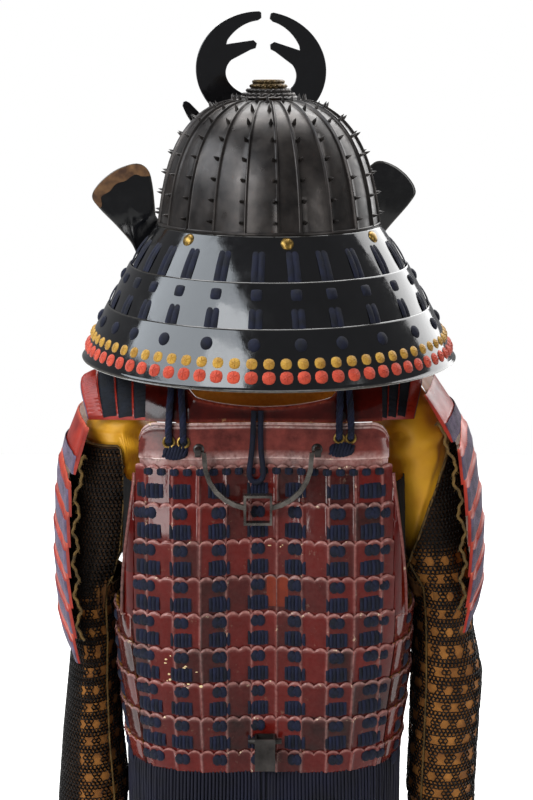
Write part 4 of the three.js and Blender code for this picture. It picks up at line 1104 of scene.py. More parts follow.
def bowl():
    skin, spikes = Skin(HELMET), Skin(HELMET)
    levels = spread(44, 0, SIDE)
    lines, tones = [], []
    for s in levels:
        line, tone = [], []
        taper = 1 - smooth((s - SIDE + 26) / 20)
        for i, ridge in enumerate(RIDGES):
            after = RIDGES[(i + 1) % len(RIDGES)] + (360 if i + 1 == len(RIDGES) else 0)
            step = per_mm(s)
            squeeze = min(1.0, (after - ridge) / step / 6)
            for d, h in RIDGE_SECTION:
                line.append(bowl_point(ridge + d * squeeze * step, s, h * max(0.1, taper)))
                tone.append(0.8 if h > 2.5 else 0.0)
            start, end = ridge + 1.9 * squeeze * step, after - 1.9 * squeeze * step
            for t in (0.2, 0.5, 0.8):
                line.append(bowl_point(lerp(start, end, t), s, 0.25 * math.sin(math.pi * t)))
                tone.append(0.0)
        lines.append(line)
        tones.append(tone)
    skin.wall(lines, 0, tones, closed=True, loop=False)

    def ring(grow, z):
        spots = []
        for p in lines[0]:
            a = math.atan2(p.x / BOWL_HALF, -p.y / BOWL_LENGTH)
            spots.append(Vector(((BOWL_HALF + grow) * math.sin(a), -(BOWL_LENGTH + grow) * math.cos(a), z)))
        return spots

    def inside(s):
        turns = [math.degrees(math.atan2(p.x / BOWL_HALF, -p.y / BOWL_LENGTH)) for p in lines[0]]
        return [bowl_point(turn, s, -2) for turn in turns]

    foot = [lines[0], *[ring(grow, z) for grow, z in BOWL_FOOT]]
    foot += [*[inside(s) for s in spread(8, 0, SIDE)], lines[-1]]
    skin.wall(foot, [0] * 4 + [1] * (len(foot) - 4), closed=True, loop=False)
    skin.make("bowl_plates", [IRON, LEATHER], "helmet_bowl", "russet_iron", sharp=35)

    def round_spot(centre, s, radius, off):
        spots = []
        for k in range(8):
            a = TAU * k / 8
            spots.append(bowl_point(centre + radius * math.cos(a) * per_mm(s), s + radius * math.sin(a), off))
        return spots

    rows = [SIDE * (k + 0.5) / 8.6 for k in range(7)] + [SIDE - 19]
    for ridge in RIDGES:
        way = 1 if ridge > 0 else -1
        for s in rows:
            centre = ridge + way * min(4.0, 0.45 * RIDGE_STEP / per_mm(s)) * per_mm(s)
            rings = [round_spot(centre, s, r, off) for r, off in ((2.1, -0.2), (1.7, 1.8), (1.05, 4.6))]
            spikes.wall(rings, 0, [[0] * 8, [0.2] * 8, [0.6] * 8], closed=True, loop=False)
            tip = spikes.add([bowl_point(centre, s, 7.4)], [0.8])
            for k in range(8):
                spikes.face((tip - 8 + k, tip - 8 + (k + 1) % 8, tip), 0)
    spikes.make("bowl_spikes", [IRON], slot="russet_iron")


bowl()


CROWN_SEAT = 118.75
CROWN_SECTION = [
    (11.5, 1.2), (27.3, 0.1), (28.0, 0.9), (27.2, 1.7), (24.4, 2.0), (24.8, 3.6), (24.0, 4.7),
    (20.2, 5.3), (20.4, 7.6), (19.6, 8.8), (16.8, 9.4), (17.0, 12.4), (16.2, 13.6), (14.6, 14.3),
    (15.0, 16.4), (14.0, 17.6), (12.6, 17.4), (11.5, 16.2), (11.5, 8.0),
]

# Twisted wires: ring's radius, height above the seat, wire's thickness, and iron or gilt
CROWN_WIRES = ((24.4, 3.6, 1.25, 0), (20.2, 7.4, 1.3, 0), (16.8, 11.4, 1.2, 1), (14.6, 15.6, 1.0, 1))


def crown_point(radius, angle, height):
    return Vector((radius * math.cos(angle), radius * math.sin(angle), CROWN_SEAT + height))


def crown():
    """Stacked rings of twisted wire round the crown's hole, gilt at the top."""
    skin = Skin(HELMET)
    turns = spread(64, 0, TAU)[:-1]
    lines = [[crown_point(r, a, z) for a in turns] for r, z in CROWN_SECTION]
    skin.wall(lines, [0] * 10 + [1] * 9, closed=True)
    for radius, height, wire, slot in CROWN_WIRES:
        turns_round = int(radius * 1.1)
        for strand in range(2):
            path = []
            for k in range(160):
                a = TAU * k / 160
                twist = turns_round * a + strand * math.pi
                out, up = wire * 0.7 * math.cos(twist), wire * 0.7 * math.sin(twist)
                path.append(crown_point(radius + out, a, height + up))
            skin.tube(path, wire * 0.78, 5, slot, closed=True)
    for k in range(24):
        a = TAU * k / 24

        def at(across, up, off, a=a):
            r = 25.8 + up
            return crown_point(r, a + across / r, 1.6 + off)

        skin.dome(at, 6.0, 4.2, 1.0, 0, 8, 2)
    skin.make("crown_rings", [IRON_FITTING, GILT_WORN], "crown_fitting", "russet_iron", sharp=40)


crown()


def guard_point(angle, half, z):
    return Vector((half * math.sin(angle), -(half + 13) * math.cos(angle), z))


NECK = [
    (-2.2, 109.4, -48, 137.6, 115.5),
    (-41, 137.2, -87, 159.6, 113),
    (-80, 159.3, -132, 184.2, 105),
]
LAME_RIM = (
    (2.2, 0.2, 0.0), (1.8, 1.0, 0.4), (0.6, 1.3, 0.9), (0, 0.6, 0.9), (0, -1.0, 0.3), (1.0, -1.9, 0.0),
)
NECK_LACES = (-98, -84, -70.7, -58.8, -45.1, -29.8, -14.7, -0.2, 13.2, 28.3, 45, 62, 79, 95)


def guard_half(i, z):
    top, top_half, bottom, bottom_half, _ = NECK[i]
    return lerp(top_half, bottom_half, (top - z) / (top - bottom))


def near_guard(i, angle, z):
    def at(across, up, off):
        half = guard_half(i, z + up)
        return guard_point(angle + across / (half + 6), half + off * 0.9, z + up + off * 0.45)

    return at


def neck_guard():
    for i, (top, _, bottom, _, end) in enumerate(NECK):
        skin = Skin(HELMET)
        reach = math.radians(end)
        angles = spread(150, -reach, reach)
        section = [(top, -1.8, 0.2), (top + 0.5, -1.0, 0.3), (top, 0.0, 0.2)]
        for t in (0.02, 0.1, 0.25, 0.5, 0.75, 0.92):
            swell = 1.1 * math.sin(math.pi * t)
            section.append((lerp(top, bottom, t), swell, 0.0))
        for up, off, tone in LAME_RIM:
            section.append((bottom + up, off, tone))
        section.append((lerp(top, bottom, 0.5), -1.6, 0.0))
        lines = [[guard_point(a, guard_half(i, z) + off, z) for a in angles] for z, off, _ in section]
        tones = [[tone] * len(angles) for _, _, tone in section]
        skin.wall(lines, [0] * (len(lines) - 3) + [1, 1, 1], tones)
        name, node = f"neck_lame_gloss_{i + 1}", f"neck_guard_lame_{i + 1}"
        skin.make(name, [BLACK, RED_DARK], node, "black_lacquer", sharp=45)

    silk, gold, red, brass = Skin(HELMET), Skin(HELMET), Skin(HELMET), Skin(HELMET)

    def in_reach(i, angle):
        return abs(angle) < math.radians(NECK[i][4]) - 0.06

    for degrees in NECK_LACES:
        angle = math.radians(degrees)
        if in_reach(0, angle):
            for half in (-3.1, 3.1):
                at = near_guard(0, angle + half / (guard_half(0, -33) + 6), -29.5)
                strands(silk, at, 6.6, 33, 1, 3.4)
        if in_reach(1, angle):
            silk.dome(near_guard(1, angle, -51.5), 11.4, 10.4, 3.2, 0, 16, 4, square=5)
            for half in (-3.2, 3.2):
                at = near_guard(1, angle + half / (guard_half(1, -73) + 6), -73.5)
                strands(silk, at, 6.8, 25, 1, 3.2)
        if in_reach(2, angle):
            silk.dome(near_guard(2, angle, -93), 12.6, 12, 3.6, 0, 16, 4)
    for k in range(-21, 22):
        angle = k * math.radians(5.05)
        if in_reach(2, angle):
            for skin, z, wide, tall in ((gold, -108.6, 11.2, 9.8), (red, -120.0, 13.0, 11.2)):
                at = near_guard(2, angle, z)
                skin.dome(at, wide, tall, 3.0, 0, 12, 4, turn=math.pi / 12, square=2.6)
                for turn in range(3):
                    a = turn * math.pi / 3 + math.pi / 6
                    path = []
                    for t in spread(4, -1, 1):
                        across, up = wide * 0.43 * t * math.cos(a), tall * 0.42 * t * math.sin(a)
                        path.append(at(across, up, 2.7 * math.sqrt(max(0.03, 1 - t * t))))
                    skin.tube(path, 0.9, 4, tone=0.4)
    for angle in (-51.4, -2, 49.3):
        brass.dome(near_guard(0, math.radians(angle), -8.5), 13, 11, 3.6, 0, 16, 5)
    silk.make("neck_lacing", [NAVY], slot="navy_silk")
    gold.make("neck_gold_knots", [GOLD_SILK], slot="navy_silk")
    red.make("neck_red_knots", [RED_SILK], slot="navy_silk")
    brass.make("neck_rivets", [BRASS], slot="russet_iron")


neck_guard()


WING_FOOT = 104
WING_OUTLINE = [
    (102, -4), (108, -18), (116, -38), (124, -40.5), (132, -26), (148, -8), (166, 10),
    (173, 22), (164, 36), (146, 48.5), (126, 54), (114, 48), (109, 32), (106, 2),
]

# From the wing's face round its edge to its back: share of the outline, and depth
WING_RINGS = [
    (0.0, 0.1), (0.3, 0.1), (0.6, 0.1), (0.8, 0.1), (0.93, 0.0), (0.985, 0.1), (1.0, 0.7),
    (1.0, 1.5), (0.985, 2.0), (0.93, 2.1), (0.8, 2.1), (0.6, 2.1), (0.3, 2.1), (0.0, 2.0),
]


def wing(side, hand):
    """A turned-back wing; the left one has a worn leather strip along its upper edge."""
    outline = catmull([Vector((x, y, 0)) for x, y in WING_OUTLINE], 5)
    tuck = 0.86 if side > 0 else 0.94
    outline = [Vector((WING_FOOT + (p.x - WING_FOOT) * tuck, p.y, 0)) for p in outline]
    centre = Vector((WING_FOOT + 31 * tuck, 15, 0))

    def back(p, depth):
        out, up = (p.x - WING_FOOT) / 70, p.y + 2.2
        y = 52.95 - (0.266 if up < 0 else 0.1) * up + 6 * max(out, 0) + 2 - depth
        return Vector((side * p.x, y, p.y))

    skin, strip = Skin(HELMET), Skin(HELMET)
    lines = []
    for shrink, depth in WING_RINGS:
        lines.append([back(centre + (p - centre) * shrink, depth) for p in outline])
    tones = [[0.6 if shrink > 0.95 else 0.0] * len(outline) for shrink, _ in WING_RINGS]
    skin.wall(lines, 0, tones, loop=False, closed=True)
    skin.make(f"wing_gloss_{hand}", [BLACK], f"wing_{hand}", "black_lacquer", sharp=50)
    if side > 0:
        return
    # The worn leather lies along the outer and upper edge, and is torn along its inside.
    edge = outline[30:58]
    widths = []
    for t in spread(len(edge) - 1):
        widths.append(0.3 * math.sin(math.pi * t) ** 0.7 + 0.06 + 0.03 * math.sin(23 * t))
    lines = []
    for outer, depth in ((1.0, 2.0), (1.0, 3.1), (0.5, 3.4), (0.0, 3.1), (0.0, 1.9)):
        line = []
        for p, width in zip(edge, widths):
            line.append(back(centre + (p - centre) * (0.985 - width * (1 - outer)), depth))
        lines.append(line)
    strip.wall(lines, 0, loop=False)
    strip.make(f"wing_strip_{hand}", [LEATHER], slot="black_lacquer")


wing(-1, "left")
wing(1, "right")


PEAK_SECTION = [
    (0, 0), (0.25, -1.0), (0.5, -1.4), (0.8, -0.8), (0.94, -0.4), (0.95, -1.2),
    (0.99, -1.0), (1.0, 0.4), (1.0, 1.6), (0.98, 2.2), (0.5, 0.8), (0, 2.0),
]


def peak():
    reach, depth, drop = math.radians(53), 36.0, 13.0
    skin = Skin(HELMET)
    offs = spread(60, -reach, reach)

    def line(share, low):
        row = []
        for off in offs:
            width = depth * share * math.cos(off / reach * math.pi / 2 * 0.82)
            radius = BOWL_HALF + width
            z = -3.4 - drop * width / depth - low
            row.append(Vector((radius * math.sin(off), (radius + 13) * math.cos(off), z)))
        return row

    skin.wall([line(s, low) for s, low in PEAK_SECTION], [0] * 9 + [1, 1, 0])
    skin.make("peak_gloss", [BLACK, RED_DARK], "helmet_peak", "black_lacquer", sharp=45)


peak()

CREST = HELMET @ Matrix.Translation((5, 134.5, 22)) @ Matrix.Rotation(math.radians(4.7), 4, "Y")
CREST_CENTRE = 122.0


def crest():
    c = CREST_CENTRE

    def arc(half_width, half_height, centre, start, end, count):
        return [
            (half_width * math.cos(math.radians(a)), centre + half_height * math.sin(math.radians(a)))
            for a in spread(count, start, end)
        ]

    right = [
        *arc(37.5, 24, c - 4, -90, 30, 24),
        (13, c + 20), (8, c + 22), (7, c + 27), (11, c + 30), (39, c + 23.5),
        *arc(45.5, 51, c, 33, 80, 16),
        (4.5, c + 53), (5, c + 58.5),
        *arc(69, 60, c, 84, -46, 40),
        (58, c - 52), (66, c - 45), (73, c - 39), (77, c - 37.5), (79.5, c - 39), (80, c - 43),
        (75, c - 52), (66, c - 64), (30, c - 82), (11, c - 100), (11, 0),
    ]
    outline = [(-x, y) for x, y in reversed(right[1:])] + right
    data = bpy.data.curves.new("crest_claws", "CURVE")
    data.dimensions = "2D"
    data.fill_mode = "BOTH"
    data.extrude = 0.75 * MM
    data.bevel_depth = 0.45 * MM
    data.bevel_resolution = 2
    data.offset = -0.4 * MM
    spline = data.splines.new("POLY")
    spline.points.add(len(outline) - 1)
    spline.use_cyclic_u = True
    for spot, (x, y) in zip(spline.points, outline):
        spot.co = (x * MM, y * MM, 0, 1)
    data.materials.append(BLACK)
    piece = bpy.data.objects.new("crest_claws", data)
    bpy.context.scene.collection.objects.link(piece)
    upright = Matrix.Rotation(math.pi / 2, 4, "X") @ Matrix.Scale(1 / MM, 4)
    piece.matrix_world = CREST @ Matrix.Translation((0, -1.2, 0)) @ upright
    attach(piece, "armour")
    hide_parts("crest")


crest()


# SHOULDERS: laced wings and hanging guards

WING_ROOT = 109.35

# Across one laced row of a shoulder wing: share of its width, height and look
WING_ROW = (
    (0.0, 4.2, 1), (0.03, 5.6, 1), (0.1, 5.9, 1), (0.13, 5.6, 0),
    (0.5, 5.2, 0), (0.85, 4.0, 0), (0.97, 3.4, 2),
)


def shoulder_wing(side, hand, reach):
    skin = Skin()
    steps = spread(4, WING_ROOT, reach)

    def point(x, t, lift):
        v = lerp(-1, 1, t)
        pinch = 1 - 0.28 * (x - WING_ROOT) / (reach - WING_ROOT)
        crown = lerp(45, 21, (x - WING_ROOT) / 70)
        fall = lerp(46, 24, (x - WING_ROOT) / 70)
        bend = 11 * (x - WING_ROOT) / (reach - WING_ROOT) * abs(v) ** 2.5
        return Vector((side * (x - bend), 66 * pinch * v - 2, crown + lift - fall * v * v - 7 * abs(v) ** 6))

    ts = spread(132)
    lines, slots = [], []
    for i in range(4):
        a, b = steps[i], steps[i + 1]
        for share, lift, slot in WING_ROW:
            rib = 1.5 if slot == 0 else 0.0
            line = []
            for k, t in enumerate(ts):
                line.append(point(lerp(a, b, share), t, lift + rib * abs(math.sin(math.pi * k / 3))))
            lines.append(line)
            slots.append(slot if i < 3 else (3 if slot == 0 else slot))
    lines.append([point(reach, t, 1.0) for t in ts])
    slots.append(4)
    lines.append([point(lerp(WING_ROOT, reach, 0.5), t, 1.8) for t in ts])
    slots.append(4)
    lines.append([point(WING_ROOT, t, 2.6) for t in ts])
    slots.append(1)
    skin.wall(lines, slots)
    looks = [NAVY_DARK, VERMILION, PURPLE, VERMILION, NAVY_DARK]
    skin.make(f"shoulder_wing_laced_{hand}", looks, f"shoulder_wing_{hand}", "navy_silk", sharp=55)


shoulder_wing(-1, "left", 182)
shoulder_wing(1, "right", 157)

# Shoulder guards: height, then how far out the left and the right one hang
SODE_OUT = [
    (0, 181, 165), (-30, 195, 187), (-60, 203, 203), (-110, 207, 213),
    (-150, 208, 218), (-200, 206, 219), (-240, 201, 215),
]
SODE_TOP = {-1: -4, 1: 28}
SODE_HALF, SODE_ROUND = math.radians(34), 133
SODE_ROWS, SODE_FIRST, SODE_PITCH = 7, 42, 31


def sode_point(side, angle, z, off):
    """A point of a shoulder guard. Its section is an arc round the arm."""
    out = table(SODE_OUT, 1 if side < 0 else 2, z) + off - SODE_ROUND * (1 - math.cos(angle))
    return Vector((side * out, -4 + SODE_ROUND * math.sin(angle), z + SODE_TOP[side]))


def shoulder_guard(side, hand):
    braid = Skin()
    for i in range(SODE_ROWS):
        top = 0.0 if i == 0 else -float(SODE_FIRST + (i - 1) * SODE_PITCH)
        height = SODE_FIRST if i == 0 else SODE_PITCH
        bottom = top - height - (0 if i == SODE_ROWS - 1 else 5)
        skin = Skin()
        angles = spread(156, -SODE_HALF, SODE_HALF)
        lines, slots, tones = [], [], []

        def level(z, off, slot, tone=0.0, rib=0.0):
            line = []
            for k, a in enumerate(angles):
                slant = (17 if i else 6) * smooth((abs(a) / SODE_HALF - 0.3) / 0.7)
                flare = 3.2 * smooth((abs(a) / SODE_HALF - 0.75) / 0.25)
                ribs = rib * abs(math.sin(math.pi * k / 3))
                line.append(sode_point(side, a, z - slant, off + flare + ribs))
            lines.append(line)
            slots.append(slot)
            tones.append([tone] * len(angles))

        level(top - 0.6, 2.2, 0, 0.8)
        level(top, 3.2, 0, 1.0)
        level(top - 1.2, 4.0, 0, 0.4)
        if i == 0:
            for t in (0.1, 0.3, 0.55, 0.72):
                level(lerp(top, bottom, t), lerp(4, 1.2, t), 0, 0.0)
            level(lerp(top, bottom, 0.74), 2.4, 1, 0.0, 1.0)
        else:
            level(top - 7.5, 3.5, 0, 0.2)
            level(top - 8.2, 4.4, 1, 0.0, 1.1)
        level(lerp(top, bottom, 0.6), 3.2, 1, 0.0, 1.2)
        level(lerp(top, bottom, 0.85), 2.6, 1, 0.0, 1.2)
        level(bottom + 0.5, 1.6, 2, 0.0, 0.8)
        level(bottom, -0.6, 2)
        level(top - 4, 1.6, 2)
        skin.wall(lines, slots, tones)
        looks = [VERMILION, PURPLE, GOLD_INSIDE]
        name, node = f"guard_row_{hand}_{i + 1}", f"shoulder_guard_{hand}_{i + 1}"
        skin.make(name, looks, node, "vermilion_lacquer", sharp=60)
    # Worn braid down both edges
    for end in (-1, 1):
        path = []
        for k in range(90):
            z = -34 - k * 2.2
            if z < -222:
                break
            sway = 2.6 * math.sin(k * 0.42) + 0.8 * math.sin(k * 1.3)
            hangs = sode_point(side, end * (SODE_HALF - 0.01), z, -1 + sway)
            path.append(hangs + Vector((-side * 1.5, 0, 0)))
        braid.tube(path, 1.5, 6)
        for k in range(120):
            z = -8 - k * 1.8
            if z < -226:
                break
            base = path[min(len(path) - 1, max(0, int((-34 - z) / 2.2)))]
            out, along, down = random.uniform(-3, 3), random.uniform(1, 3.5), random.uniform(-4, 1)
            tip = base + Vector((side * out, end * along, down))
            braid.tube([base, (base + tip) / 2 + Vector((0, 0, -0.6)), tip], lambda t: 0.55 * (1.1 - t), 3)
    braid.make(f"guard_braid_{hand}", [BRAID], slot="ochre_satin")


shoulder_guard(-1, "left")
shoulder_guard(1, "right")


# SLEEVES: height, right centre and half width, left centre and half width, middle in depth, half depth

SLEEVE = [
    (35, 129, 12, 128, 12, -3, 13),
    (22, 133, 19, 133, 19, -4, 26),
    (2, 140, 26, 138, 26, -5, 40),
    (-30, 147, 39, 145, 38, -5, 53),
    (-85, 156, 42, 154, 40, -5, 54),
    (-140, 168, 34, 165, 30, -4, 50),
    (-182, 183, 27, 178, 22, -2, 46),
    (-235, 185, 27, 174, 19.5, 0, 44),
    (-285, 190, 33, 177, 22, 0, 45),
    (-350, 189, 32, 180, 27, 6, 42),
    (-420, 188, 32, 181, 33, 14, 40),
    (-500, 193, 30, 190, 31, 26, 35),
    (-562, 196, 26, 194, 26, 36, 30),
]
FOLDS = [(-22, 2.6, 6, 8), (-44, 3.2, 7, 10), (-68, 2.4, 7, 6), (-96, 1.6, 9, -6)]
MAIL_TOP, MAIL_SLANT, MAIL_WRIST = -100, 78, -560


def sleeve_point(side, angle, z, off):
    """A point round the arm, 0 being its outside."""
    column = 1 if side > 0 else 3
    x = table(SLEEVE, column, z) + (table(SLEEVE, column + 1, z) + off) * math.cos(angle)
    y = table(SLEEVE, 5, z) - (table(SLEEVE, 6, z) + off) * math.sin(angle)
    return Vector((side * x, y, z))


def fold(angle, z):
    """How far the sleeve's main folds go in."""
    total = 0.0
    for at, depth, half, rise in FOLDS:
        off = (z - at - rise * math.cos(angle)) / half
        total -= depth * math.exp(-off * off) * (0.4 + 0.6 * abs(math.sin(angle)))
    return total


def small_folds(angle, z):
    """Finer creases between the main folds of the satin."""
    drift = 5 * math.sin(2.3 * angle + 0.7) + 3 * math.sin(5.1 * angle)
    near = math.exp(-(((z + 30) / 40) ** 2))
    return near * (1.7 * math.sin((z + drift) / 4.4) + 0.7 * math.sin((z * 0.7 - drift * 1.6) / 3.4 + 1.2))


def mail_rim(side, angle):
    """Height of the mail's upper edge round the arm: slanted on the right, stepped on the left."""
    if side > 0:
        return MAIL_TOP + MAIL_SLANT * math.cos(angle)
    from_outside = math.acos(clamp(math.cos(angle), -1, 1))
    return lerp(-32, -177, smooth((from_outside - math.radians(96)) / math.radians(44)))


def cloth_area(lines):
    """Area, in square metres, of the surface through closed lines in millimetres."""
    total = 0.0
    for above, below in zip(lines, lines[1:]):
        for k in range(len(above)):
            n = (k + 1) % len(above)
            total += (above[k] - below[n]).cross(above[n] - below[k]).length / 2
    return total * MM * MM


def declare_sleeve(lines):
    """Works out the flat width, the widest round, the length, the longest line down, and the area of cloth
    sewn to a tube. The area is the mesh's own, kept within what a sheet of that flat size may have. The
    values are not used.
    """
    width = max(sum((line[k] - line[k - 1]).length for k in range(len(line))) for line in lines) * MM
    columns = range(len(lines[0]))
    length = max(sum((a[k] - b[k]).length for a, b in zip(lines, lines[1:])) for k in columns) * MM
    area = clamp(cloth_area(lines), 0.31 * width * length, width * length)


def satin(side, hand):
    skin = Skin()
    angles = spread(96, 0, TAU)[:-1]

    def ring(share, depth):
        row = []
        for a in angles:
            rim = mail_rim(side, a)
            z = lerp(35, rim - 20, share)
            tucked = lerp(3.2, 0.6, smooth((z - rim - 2) / 14))
            creases = small_folds(a, z) * (0.9 if tucked < 1.5 else 0.2)
            row.append(sleeve_point(side, a, z, fold(a, z) + creases - tucked - depth))
        return row

    shares = spread(70)
    outside = [ring(t, 0) for t in shares]
    skin.wall(outside + [ring(t, 1.3) for t in reversed(shares[::5])], 0, closed=True)
    piece = skin.make(f"satin_{hand}", [SATIN], f"shoulder_cloth_{hand}", "ochre_satin", sharp=180)
    declare_sleeve(outside)


def sleeve_surface(side, angle, z, off):
    """The mail's surface. It sags a little towards the body on the inside of the arm."""
    inward = max(0.0, -math.cos(angle)) * (2.5 + 11 * math.exp(-(((z + 150) / 42) ** 2)))
    inward *= smooth((MAIL_WRIST + 80 - z) / -60)
    return sleeve_point(side, angle, z, off + 0.5 * fold(angle, z) + inward)


WINDOW_WIDE, WINDOW_HIGH, RING_PITCH = 19.0, 20.0, 4.5


def is_window(across, z):
    """Where the mail leaves the cloth bare: upright windows in staggered rows."""
    row = math.floor(-z / WINDOW_HIGH)
    fx = (across / WINDOW_WIDE + 0.5 * (row % 2)) % 1.0
    fz = (-z / WINDOW_HIGH) % 1.0
    return 0.16 < fx < 0.76 and 0.16 < fz < 0.8


def close_mail(side, angle, z):
    """Where the mail has no windows: high on both arms, and down the left arm's outer side."""
    if side < 0:
        return z > -190 or math.cos(angle) > 0.3
    return z > -140


def mail_sleeve(side, hand):
    cloth, rings, edge = Skin(), Skin(), Skin()
    angles = spread(72, 0, TAU)[:-1]

    def ring_line(share, off):
        return [sleeve_surface(side, a, lerp(mail_rim(side, a), MAIL_WRIST, share), off) for a in angles]

    # Painted shade: the cloth under the close mail takes most of the dark edge colour, and the bare windows
    # take a little of it.
    def shade(share, a):
        return 0.88 if close_mail(side, a, lerp(mail_rim(side, a), MAIL_WRIST, share)) else 0.12

    shares = spread(60)
    outside = [ring_line(t, 1.4) for t in shares]
    shaded = [[shade(t, a) for a in angles] for t in shares]
    inside = [ring_line(t, 0.3) for t in reversed(shares[::6])]
    cloth.wall(outside + inside, 0, shaded + [[0.5] * len(angles) for _ in inside], closed=True)
    # Rings lie along rows, each row tilted the other way from the one before.
    z, row = 0.0, 0
    while z > MAIL_WRIST:
        half_width, half_depth = table(SLEEVE, 2 if side > 0 else 4, z), table(SLEEVE, 6, z)
        around = TAU * math.sqrt((half_width ** 2 + half_depth ** 2) / 2)
        count = int(around / RING_PITCH)
        for k in range(count):
            a = TAU * (k + 0.5 * (row % 2)) / count
            if z > mail_rim(side, a) - 3:
                continue
            if is_window(a / TAU * around, z) and not close_mail(side, a, z):
                continue
            centre = sleeve_surface(side, a, z, 2.1)
            ahead, behind = sleeve_surface(side, a + 0.02, z, 2.1), sleeve_surface(side, a - 0.02, z, 2.1)
            east = (ahead - behind).normalized()
            down = Vector((0, 0, 1))
            out = east.cross(down)
            tilt = 0.45 if row % 2 else -0.45
            path = []
            for s in range(6):
                t = TAU * s / 6
                flat = centre + east * (2.7 * math.cos(t)) + down * (2.4 * math.sin(t))
                path.append(flat + out * (tilt * math.cos(t)))
            rings.tube(path, 0.78, 3, closed=True)
        z -= RING_PITCH * 0.86
        row += 1
    mail = rings.make(f"mail_rings_{hand}", [MAIL_IRON], slot="mail_on_cloth", sharp=180)
    # Bound edges at the mail's top and at the wrist
    for height, radius in ((lambda a: mail_rim(side, a) - 1, 1.3), (lambda a: MAIL_WRIST + 1, 1.8)):
        path = [sleeve_surface(side, a, height(a), 1.8) for a in angles]
        edge.tube(path, radius, 6, closed=True, flat=0.7)
    # A seam cord down the inside of the arm
    inner = math.radians(132)
    heights = spread(60, mail_rim(side, inner) - 4, MAIL_WRIST + 4)
    path = [sleeve_surface(side, inner, z, 3.2) for z in heights]
    edge.tube(path, 1.0, 6)
    binding = edge.make(f"sleeve_binding_{hand}", [BRAID], slot="mail_on_cloth")
    piece = cloth.make(f"sleeve_cloth_{hand}", [WINDOW], f"mail_sleeve_{hand}", "mail_on_cloth", sharp=180)
    declare_sleeve(outside)


def hand_plate(side, hand):
    top, bottom, lift = -552, -640, 2.75
    half = math.radians(62)
    skin = Skin()

    def line(z, off):
        row = []
        for t in spread(24):
            angle = lerp(-half, half, t)
            taper = clamp((top - z) / (top - bottom))
            p = sleeve_point(side, angle * (1 - 0.25 * taper ** 3), max(z, MAIL_WRIST), off + 3 * taper)
            round_end = 9 * clamp((taper - 0.8) / 0.2) * math.cos(angle)
            row.append(Vector((p.x, p.y + 14 * taper, z - round_end)))
        return row

    zs = spread(8, top, bottom)
    lines = [line(z, lift + 1.7) for z in zs] + [line(z, lift) for z in reversed(zs)]
    skin.wall(lines, [0] * 8 + [0] + [1] * 8 + [0])
    skin.make(f"hand_plate_gloss_{hand}", [BLACK, LEATHER], f"hand_plate_{hand}", "black_lacquer", sharp=45)


def lining(side, hand):
    """Cloth inside the armhole, from the back panel's edge round to the breast. Its near-black colour is
    painted shade for the dark armhole.
    """
    skin = Skin()
    lines = []
    for z in spread(16, -62, -204):
        start = back_angle(table(BACK_PANEL, 1, z) - 6, z)
        line = []
        for a in spread(30, start, 2.3):
            line.append(body_point(side * a, z, -4.6 + 0.5 * math.sin(a * 40 + z / 9)))
        lines.append(line)
    inside = [[p + Vector((-side * 1.2, 0, 0)) for p in line] for line in reversed(lines)]
    skin.wall(lines + inside)
    piece = skin.make(f"armhole_lining_{hand}", [ARMHOLE_SHADE_CLOTH], slot="mail_on_cloth", sharp=180)
    width = max(sum((a - b).length for a, b in zip(line, line[1:])) for line in lines) * MM


for side, hand in ((-1, "left"), (1, "right")):
    lining(side, hand)
    satin(side, hand)
    mail_sleeve(side, hand)
    hand_plate(side, hand)


# SKIRT: the close cords under the cuirass, and the tassets

TASSETS, TASSET_ROWS, TASSET_PITCH, TASSET_TOP = 7, 5, 42.0, -436.0


def waist():
    cords = 230
    skin, backing = Skin(), Skin()
    foot = TASSET_TOP + 0.35
    angles = {z: even_angles(z, -math.pi, math.pi, cords)[:-1] for z in (HEM - 3, -380, -408, foot)}
    for k in range(cords):
        path = [
            body_point(angles[z][k], z, 1.2 + 0.35 * math.sin(k * 2.7 + i))
            for i, z in enumerate(sorted(angles, reverse=True))
        ]
        path.insert(0, body_point(angles[HEM - 3][k], HEM + 6, -2.4))
        skin.tube(catmull(path, 2), 1.75, 6, flat=0.8, tone=0.3 * random.random())
    skin.make("waist_cords", [WAIST_SILK], "waist_lacing", "navy_silk", sharp=180)
    lines = []
    for z, off in (
        (HEM + 8, -2.8), (HEM - 3, 0.1), (foot, 0.2), (foot, -0.8), (HEM - 3, -1.0), (HEM + 8, -4.0),
    ):
        lines.append([body_point(a, z, off) for a in even_angles(z, -math.pi, math.pi, 96)[:-1]])
    backing.wall(lines, 0, closed=True)
    backing.make("waist_backing", [NAVY_DARK], slot="navy_silk", sharp=180)


waist()


def tasset(index):
    step = TAU / TASSETS
    half = step / 2 - math.radians(1.2)
    skin, silk = Skin(), Skin()

    def columns(z):
        return even_angles(z, index * step - half, index * step + half, 90)

    for row in range(TASSET_ROWS):
        top = TASSET_TOP - row * TASSET_PITCH
        bottom = top - TASSET_PITCH - (0 if row == TASSET_ROWS - 1 else 3)
        scale_band(skin, columns, top, bottom, 3.8, 1.2, -0.8)
        angles = columns(top)
        for k in (10, 33, 57, 80):
            round_knot(silk, near_angle(angles[k], top - 11, 3.4, 135), *BODY_KNOT)
            if row < TASSET_ROWS - 1:
                lower = near_angle(angles[k], top - 31, 2.4, 135)

                strands(silk, lower, 17, 15, 6, 1.5)
    skin.make(f"tasset_rows_{index + 1}", [RED, RED_DARK], f"tasset_{index + 1}", "red_lacquer", sharp=50)
    silk.make(f"tasset_lacing_{index + 1}", [NAVY], slot="navy_silk")


for index in range(TASSETS):
    tasset(index)


# CAD nodes that stay: the crest's holder, the bracket and the socket, with softened edges

